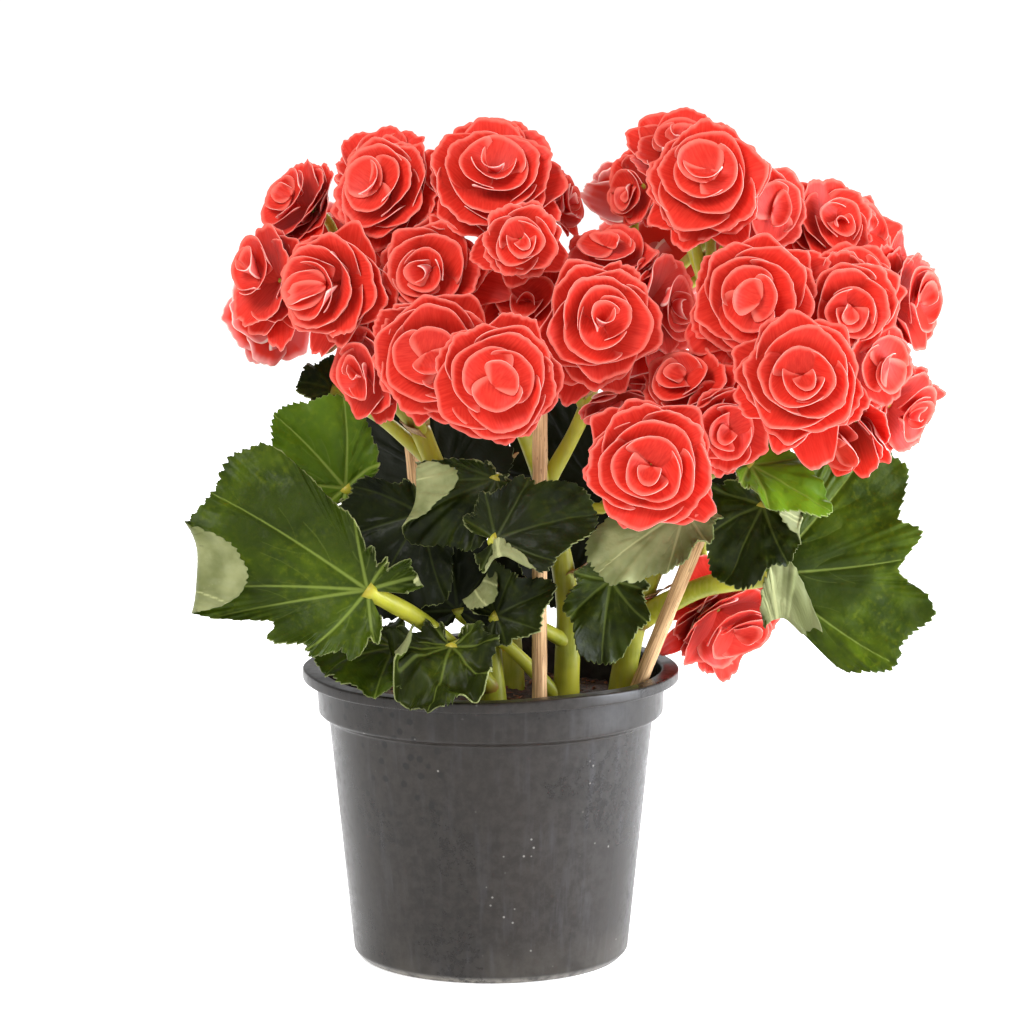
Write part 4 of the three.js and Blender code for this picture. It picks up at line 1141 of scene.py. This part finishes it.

# A petal's place in its bloom is a row of: how far out its tip reaches, how high the tip is, half its width
# and the radius that it curls round, all in shares of the bloom's size. A whorl has even petals, whose root
# is how high they start. They carry painted shade, darker red standing for the shade under the petals inside
# them, up to the first share of `shade`, fading out by the second.
WHORLS = {
    "skirt": {"count": 5, "petal": (1.05, -0.28, 0.62, 1.7), "frill": 0.034, "root": -0.5, "stray": 0.05,
              "shade": (0.76, 0.98)},
    "outer": {"count": 5, "petal": (0.96, -0.03, 0.68, 1.9), "frill": 0.03, "root": -0.45, "stray": 0.05,
              "shade": (0.62, 0.92)},
    "second": {"count": 3, "petal": (0.77, 0.11, 0.66, 1.2), "frill": 0.02, "root": -0.35, "stray": 0.06,
               "shade": (0.5, 0.88)},
}

# The whorls of a bloom of each number of tiers, and how large the petals round its throat are.
WHORLS_OF = {
    4: (("skirt", "outer", "second"), 1.0),
    3: (("skirt", "outer"), 1.2),
    2: (("outer",), 1.3),
}

# The petals round the throat, each with its turn in degrees from the side that the heart leans to.
HEARTS = {
    "nest": [
        (-50, 0.6, 0.2, 0.56, 0.62), (70, 0.52, 0.24, 0.5, 0.56), (186, 0.5, 0.2, 0.52, 0.8),
        (-10, 0.4, 0.3, 0.42, 0.42), (30, 0.24, 0.3, 0.24, 0.2),
    ],
    "discs": [
        (120, 0.56, 0.16, 0.46, 1.3), (-118, 0.58, 0.22, 0.46, 1.3), (4, 0.44, 0.27, 0.4, 1.2),
        (150, 0.3, 0.32, 0.34, 0.8),
    ],
    "scroll": [
        (0, 0.56, 0.2, 0.56, 0.6), (140, 0.5, 0.23, 0.5, 0.5), (-96, 0.44, 0.25, 0.44, 0.44),
        (40, 0.28, 0.3, 0.34, 0.28), (-150, 0.15, 0.32, 0.2, 0.2),
    ],
}
HEART_ORDER = ("nest", "discs", "scroll")

# Where the petals of a heart start: how far out, how high the first one does, and how much higher each
# of the next ones does. The discs start past the middle, so they lie over each other like scales.
HEART_ROOTS = {"nest": (0.02, -0.06, 0.04), "discs": (-0.1, 0.1, 0.05), "scroll": (0.02, -0.06, 0.04)}
WHORL_ROOT = 0.02
HEART_LEAN = (0.1, 0.35)
# How far painted shade reaches on the petals round the throat, in shares of their length: the first petal's
# two shares, then how much further each next petal's go.
HEART_SHADE = ((-0.1, 0.5), (0.1, 0.14))
# Loose petals at the back carry painted shade over most of their length.
LOOSE_FORM = {"wrap": 0.9, "root": (WHORL_ROOT, -0.5), "cup": 0.2, "frill": 0.03, "shade": (0.05, 0.8)}

# The hearts that the picture shows plainly: which kind, the side that it leans to in degrees from the
# bloom's right, counter-clockwise as it is looked at, and how far it leans. The others are drawn.
HEART_SIDES = {
    ("bloom_left_01", 24): ("nest", 262, -0.2),
    ("bloom_left_03", 14.5): ("nest", 280, 0.1),
    ("bloom_left_04", 20.5): ("discs", 150, 0.3),
    ("bloom_left_06", 21.5): ("nest", 200, 0.6),
    ("bloom_left_09", 19): ("scroll", 210, 0.3),
    ("bloom_middle_01", 23): ("discs", 80, 0.1),
    ("bloom_middle_02", 23): ("discs", 262, 0.0),
    ("bloom_middle_04", 22.5): ("scroll", 95, 0.2),
    ("bloom_right_01", 22): ("discs", 110, 0.3),
    ("bloom_right_05", 22): ("discs", 0, -0.1),
    ("bloom_right_06", 18.5): ("nest", 250, 0.2),
    ("bloom_right_07", 22.5): ("nest", 272, 0.1),
    ("bloom_low_01", 23.5): ("nest", 232, 0.1),
    ("bloom_low_02", 17): ("nest", 200, 0.2),
}

# Loose petals at the back of a piece's first head, or of the head of the size that is named with it:
# turn, reach, height and half width.
LOOSE = {
    "bloom_left_01": [(215, 1.12, -0.35, 0.5), (325, 1.14, -0.3, 0.5), (162, 1.2, -0.3, 0.45)],
    "bloom_left_03": [(200, 1.3, -0.5, 0.6), (335, 1.25, -0.6, 0.6), (262, 1.15, -0.5, 0.5)],
    "bloom_left_04": [
        (236, 1.14, -0.4, 0.55), (280, 1.16, -0.5, 0.55), (325, 1.1, -0.4, 0.5), (110, 1.12, -0.4, 0.6),
    ],
    ("bloom_left_04", 17): [(90, 1.15, 0.15, 0.6), (130, 1.2, 0.1, 0.6), (55, 1.25, 0.1, 0.6)],
    "bloom_left_05": [(285, 1.15, -0.2, 0.6), (330, 1.2, -0.3, 0.6)],
    "bloom_left_06": [(350, 1.15, -0.4, 0.5), (285, 1.12, -0.4, 0.5), (249, 1.35, -0.45, 0.4)],
    "bloom_left_07": [(296, 1.35, -0.4, 0.5), (330, 1.3, -0.4, 0.5)],
    "bloom_left_09": [
        (8, 1.14, -0.4, 0.5), (190, 1.12, -0.4, 0.5), (95, 1.1, -0.4, 0.55), (345, 1.5, -0.5, 0.5),
    ],
    "bloom_middle_01": [(252, 1.18, -0.4, 0.36), (284, 1.2, -0.35, 0.42), (150, 1.1, -0.3, 0.5)],
    "bloom_middle_04": [(285, 1.14, -0.4, 0.5), (235, 1.12, -0.3, 0.5), (244, 1.4, -0.5, 0.45)],
    "bloom_middle_05": [(240, 1.25, -0.3, 0.5), (300, 1.2, -0.3, 0.5)],
    "bloom_middle_06": [
        (262, 1.2, -0.2, 0.5), (220, 1.1, -0.3, 0.5), (300, 1.2, -0.3, 0.5), (244, 1.6, -0.4, 0.6),
    ],
    "bloom_middle_07": [(20, 1.5, -0.2, 0.6), (60, 1.7, -0.3, 0.6)],
    "bloom_right_01": [(216, 1.15, -0.3, 0.4), (250, 1.2, -0.25, 0.45), (300, 1.15, -0.35, 0.5)],
    ("bloom_right_01", 18.5): [(90, 1.1, 0.2, 0.6), (130, 1.2, 0.1, 0.6), (160, 1.2, 0.0, 0.6)],
    "bloom_right_02": [(300, 1.1, -0.3, 0.5)],
    "bloom_right_03": [(215, 1.15, -0.3, 0.5), (285, 1.2, -0.4, 0.5), (312, 1.4, -0.4, 0.6)],
    "bloom_right_04": [(215, 1.15, -0.3, 0.5), (265, 1.2, -0.4, 0.5), (320, 1.1, -0.4, 0.5)],
    ("bloom_right_04", 16): [(2, 1.75, -0.1, 0.5), (330, 1.6, -0.1, 0.5), (40, 1.4, -0.1, 0.5)],
    "bloom_right_05": [
        (205, 1.12, -0.35, 0.5), (262, 1.14, -0.4, 0.5), (40, 1.1, -0.4, 0.5), (24, 1.35, -0.5, 0.45),
        (243, 1.3, -0.5, 0.4), (222, 1.35, -0.5, 0.45),
    ],
    "bloom_right_06": [(10, 1.15, -0.4, 0.5), (110, 1.12, -0.3, 0.6), (320, 1.15, -0.4, 0.5)],
    "bloom_right_07": [
        (254, 1.2, -0.3, 0.42), (200, 1.12, -0.3, 0.5), (335, 1.15, -0.4, 0.5), (160, 1.15, -0.35, 0.6),
        (284, 1.4, -0.5, 0.5),
    ],
    "bloom_right_08": [(84, 1.35, -0.3, 0.36), (118, 1.25, -0.3, 0.4), (20, 1.3, -0.1, 0.4)],
    "bloom_right_09": [(232, 1.2, 0.0, 0.5), (200, 1.2, -0.1, 0.5)],
    "bloom_right_10": [(160, 1.1, -0.3, 0.5), (100, 1.15, -0.3, 0.5), (10, 1.3, -0.1, 0.4)],
    "bloom_low_01": [(318, 1.2, -0.2, 0.36), (140, 1.1, -0.35, 0.5)],
    "bloom_low_02": [(8, 1.5, -0.4, 0.5), (50, 1.3, -0.3, 0.4)],
    "bloom_low_03": [
        (132, 1.75, -0.5, 0.5), (170, 1.6, -0.6, 0.5), (205, 1.3, -0.2, 0.5), (282, 1.25, -0.1, 0.5),
        (312, 1.2, -0.1, 0.5), (296, 1.4, 0.0, 0.4),
    ],
    "bloom_back_03": [(243, 1.75, 0.2, 0.5), (262, 1.5, 0.1, 0.5)],
}


def petal_outline(u, frill, draw, seed):
    """How far a petal reaches at each place across it: rounded off, a little lopsided and frilled."""
    skew = draw.uniform(-PETAL["skew"], PETAL["skew"])
    outline = 1 - PETAL["roundness"] * (1 - np.sqrt(np.maximum(1 - 0.99 * u**2, 0))) + skew * u
    outline = outline + 1.2 * frill * ripple(u * 2.4, (1.4, 3.2), seed)
    return outline + 0.35 * frill * draw.uniform(0.2, 1.4) * ripple(u * 3, (5, 9), seed)


def petal_sheet(size, turn, tip, waist, width, wrap, cup, lean, frill, root, shift, shade, seed):
    """One petal in the bloom's own frame, with +Z where the bloom looks.

    Its middle line runs from the root past the waist to the tip, each given as (radius, height).
    `wrap` is the radius that it curls round, `cup` lifts its sides, `lean` lifts one of them, `shift` moves
    its tip sideways, and from its root it carries painted shade up to the first share of `shade`, fading out
    by the second.
    """
    draw = np.random.default_rng(seed)
    u = np.linspace(-1, 1, PETAL["columns"])[None, :]
    v = np.linspace(0, 1, PETAL["rows"])[:, None] ** 0.8
    outline = petal_outline(u, frill, draw, seed)
    t = v * outline
    narrow = PETAL["root_width"]
    side = u * width * (narrow + (1 - narrow) * np.sin(v * math.pi / 2) ** 0.75)
    line = bent_line(np.array(root), np.array(waist), np.array(tip), t[..., None])
    x = line[..., 0] - wrap * (1 - np.cos(side / wrap))
    y = wrap * np.sin(side / wrap)
    spread = side / width
    wave = ripple(u * 2, (1.0, 2.0), seed + 1) * 1.5 + ripple(u * 4 + v, (2, 4), seed + 2) * 0.4
    bowl = -PETAL["bowl"] * np.sin(np.clip(t, 0, 1) * math.pi) * (1 - spread**2)
    height = line[..., 1] + cup * spread**2 * v**1.5 + lean * spread * v + wave * frill * v**4 + bowl
    angle = math.radians(turn)
    points = np.stack([
        x * math.cos(angle) - y * math.sin(angle) + shift[0] * v,
        x * math.sin(angle) + y * math.cos(angle) + shift[1] * v,
        height,
    ], -1)
    margin = np.minimum((1 - v) * outline * tip[0], (1 - np.abs(u)) * width * (0.3 + 0.7 * v)) * size
    flat = np.stack([np.broadcast_to(side, t.shape) * size + draw.uniform(0, 400), t * size], -1)
    # Painted shade, full at the root and gone past the second share of `shade`.
    deep = np.broadcast_to(1 - smooth(*shade, v), t.shape)
    return points * size, np.broadcast_to(margin, t.shape), deep, flat


def petal_form(turn, row, root, cup, frill, hand, shade, heart=(0.0, 0.0)):
    """The settings of the petal of a row, in a bloom whose heart lies aside by that much."""
    reach, rise, width, wrap = row
    rise = rise + cup * (1 - reach * 0.6) * 0.16
    aside = max(0, 1 - reach)
    return {
        "turn": turn,
        "tip": (reach, rise),
        "waist": (reach * (0.52 - 0.26 * cup), rise - 0.03 - 0.26 * cup * reach),
        "width": width,
        "wrap": wrap * (1 - 0.4 * cup),
        "cup": 0.03 + 0.08 * cup,
        "lean": hand * 0.045,
        "frill": frill,
        "root": root,
        "shift": (heart[0] * aside, heart[1] * aside),
        "shade": shade,
    }


def loose_petals(bloom, hand):
    """The loose petals at the back of a bloom."""
    name, _, size, *_ = bloom
    form = LOOSE_FORM
    own = LOOSE.get(name, []) if bloom is first_head(name) else []
    for turn, *row in LOOSE.get((name, size), own):
        row = (*row, form["wrap"])
        yield petal_form(turn, row, form["root"], form["cup"], form["frill"], hand, form["shade"])


def whorl_petals(whorl, cup, hand, heart, draw):
    """The petals of one whorl, each two steps round from the last and a little further in."""
    reach, height, width, wrap = whorl["petal"]
    count, root = whorl["count"], (WHORL_ROOT, whorl["root"])
    first = draw.uniform(0, 360)
    for i in range(count):
        inset = i / count
        turn = first + hand * i * 720 / count + draw.uniform(-PETAL["whorl_stray"], PETAL["whorl_stray"])
        stray = whorl["stray"] * draw.uniform(-1, 1, 2)
        tip = reach - 0.05 * inset + stray[0], height + 0.06 * inset + 0.6 * stray[1]
        row = (*tip, width * draw.uniform(0.86, 1.12), wrap)
        yield petal_form(turn, row, root, cup, whorl["frill"], hand, whorl["shade"], heart)


def heart_petals(kind, side, large, cup, hand, heart, draw):
    """The petals round the throat, turned to the side that the heart leans to."""
    out, first, rise = HEART_ROOTS[kind]
    for i, (turn, reach, height, width, wrap) in enumerate(HEARTS[kind]):
        turn = side + hand * turn + draw.uniform(-PETAL["heart_stray"], PETAL["heart_stray"])
        row = (reach * large * draw.uniform(0.93, 1.07), height, width * large, wrap * large)
        root = (out, first + i * rise)
        shade = [edge + i * step for edge, step in zip(*HEART_SHADE)]
        yield petal_form(turn, row, root, 0.7 * cup, PETAL["heart_frill"], hand, shade, heart)


def bloom_petals(bloom, seed):
    """The settings of a bloom's petals, from the outer ones in: each is smaller, higher and more curled."""
    name, _, size, _, tiers, cup, *_ = bloom
    draw = np.random.default_rng(seed)
    hand = 1 if seed % 2 else -1
    whorls, large = WHORLS_OF[tiers]
    drawn = (HEART_ORDER[seed % len(HEART_ORDER)], draw.uniform(0, 360), draw.uniform(*HEART_LEAN))
    kind, side, lean = HEART_SIDES.get((name, size), drawn)
    heart = lean * math.cos(math.radians(side)), lean * math.sin(math.radians(side))
    yield from loose_petals(bloom, hand)
    for key in whorls:
        yield from whorl_petals(WHORLS[key], cup, hand, heart, draw)
    yield from heart_petals(kind, side, large, cup, hand, heart, draw)


def first_head(name):
    """The first of the heads that one piece has."""
    return next(bloom for bloom in BLOOMS if bloom[0] == name)


def bloom_frame(bloom):
    """The bloom's own axes: where it looks, and two across."""
    _, direction = bloom_axis(bloom)
    right = unit(np.cross((0, 0, 1), direction)) if abs(direction[2]) < 0.98 else np.array((1.0, 0, 0))
    return right, np.cross(direction, right), direction


def add_bloom(shape, bloom, seed):
    """Adds the petals of one bloom, all in tints near its own."""
    _, at, size, *_ = bloom
    right, up, direction = bloom_frame(bloom)
    draw = np.random.default_rng(seed + 900)
    shade = draw.uniform(0, 0.7)
    for i, petal in enumerate(bloom_petals(bloom, seed)):
        points, margin, deep, flat = petal_sheet(size, seed=seed * 50 + i, **petal)
        world = np.array(at) + points[..., :1] * right + points[..., 1:2] * up + points[..., 2:] * direction
        tint = np.full(margin.shape, shade + draw.uniform(0, 0.3))
        add_sheet(shape, world, PETAL["thickness"], margin=margin, deep=deep, tint=tint)
        add_flat(shape, flat)


def make_blooms(material):
    """Each piece's blooms: one, or several that are pressed together."""
    for name in dict.fromkeys(bloom[0] for bloom in BLOOMS):
        shape = Shape()
        for seed, bloom in enumerate(BLOOMS):
            if bloom[0] == name:
                add_bloom(shape, bloom, seed)
        place("double_" + name, shape, material, "bloom", name)


# ---- studio ----

FLOOR = {"half": 20000, "points": 9, "glow": 0.48}
WORLD_STRENGTH = 0.6
WHITE = (1, 1, 1)
PLANT_MIDDLE = (10, 0, 170)
POT_MIDDLE = (0, 0, 60)

# Lights: name, place, what it looks at, width, power in watts and colour.
LIGHTS = [
    ("key", (-900, -1100, 1500), PLANT_MIDDLE, 900, 40, WHITE),
    ("fill", (1300, -700, 700), PLANT_MIDDLE, 900, 14, (0.93, 0.96, 1.0)),
    ("edge", (820, -120, 160), POT_MIDDLE, 420, 13, (0.84, 0.9, 1.0)),
    ("rim", (500, 1300, 1100), PLANT_MIDDLE, 800, 16, WHITE),
]


def make_floor():
    """A plain pale floor that runs out of the picture."""
    shape = Shape()
    steps = np.linspace(-FLOOR["half"], FLOOR["half"], FLOOR["points"])
    x, y = np.meshgrid(steps, steps)
    shape.add(np.stack([x, y, np.zeros_like(x)], -1), grid_faces(FLOOR["points"], FLOOR["points"]))
    floor = bpy.data.objects.new("floor", shape.mesh("floor"))
    bpy.context.scene.collection.objects.link(floor)
    n = Nodes("floor")
    grain = n.noise(n.stretched(), 3.0, 2.0)
    values = {
        "Base Color": n.mix(grain, (0.93, 0.93, 0.93, 1), (0.96, 0.96, 0.96, 1)),
        "Roughness": 0.85,
        "Emission Color": (1, 1, 1, 1),
        "Emission Strength": FLOOR["glow"],
    }
    floor.data.materials.append(n.finish(n.add("BsdfPrincipled", values).outputs[0]))


def add_light(name, spot, target, size, power, colour):
    """A soft square light that looks at the target."""
    data = bpy.data.lights.new(name, "AREA")
    data.shape, data.size, data.energy, data.color = "SQUARE", size * MM, power, colour
    light = bpy.data.objects.new(name, data)
    bpy.context.scene.collection.objects.link(light)
    spot, aim = Vector(spot) * MM, Vector(target) * MM
    light.location = spot
    light.rotation_euler = (aim - spot).to_track_quat("-Z", "Y").to_euler()


def make_studio():
    """Even white light all round, and the soft lights."""
    scene = bpy.context.scene
    world = bpy.data.worlds.new("studio")
    world.use_nodes = True
    background = world.node_tree.nodes["Background"]
    background.inputs["Color"].default_value = (1, 1, 1, 1)
    background.inputs["Strength"].default_value = WORLD_STRENGTH
    scene.world = world
    for light in LIGHTS:
        add_light(*light)
    scene.view_settings.view_transform = "Standard"
    scene.view_settings.look = "None"


def make_camera():
    """The camera, at the photograph's angle and distance."""
    data = bpy.data.cameras.new("camera")
    data.sensor_width, data.lens = CAMERA["sensor"], CAMERA["lens"]
    data.clip_start, data.clip_end = CAMERA["clip"]
    camera = bpy.data.objects.new("camera", data)
    bpy.context.scene.collection.objects.link(camera)
    camera.location = [c * MM for c in CAMERA["place"]]
    camera.rotation_euler = (math.radians(90 - CAMERA["pitch"]), 0, 0)
    bpy.context.scene.camera = camera


make_camera()
make_studio()
make_floor()
make_pot(pot_material())
make_soil(soil_material())
make_stakes(stake_material())
make_stems(stem_material())
make_leaves(leaf_material())
make_blooms(petal_material())
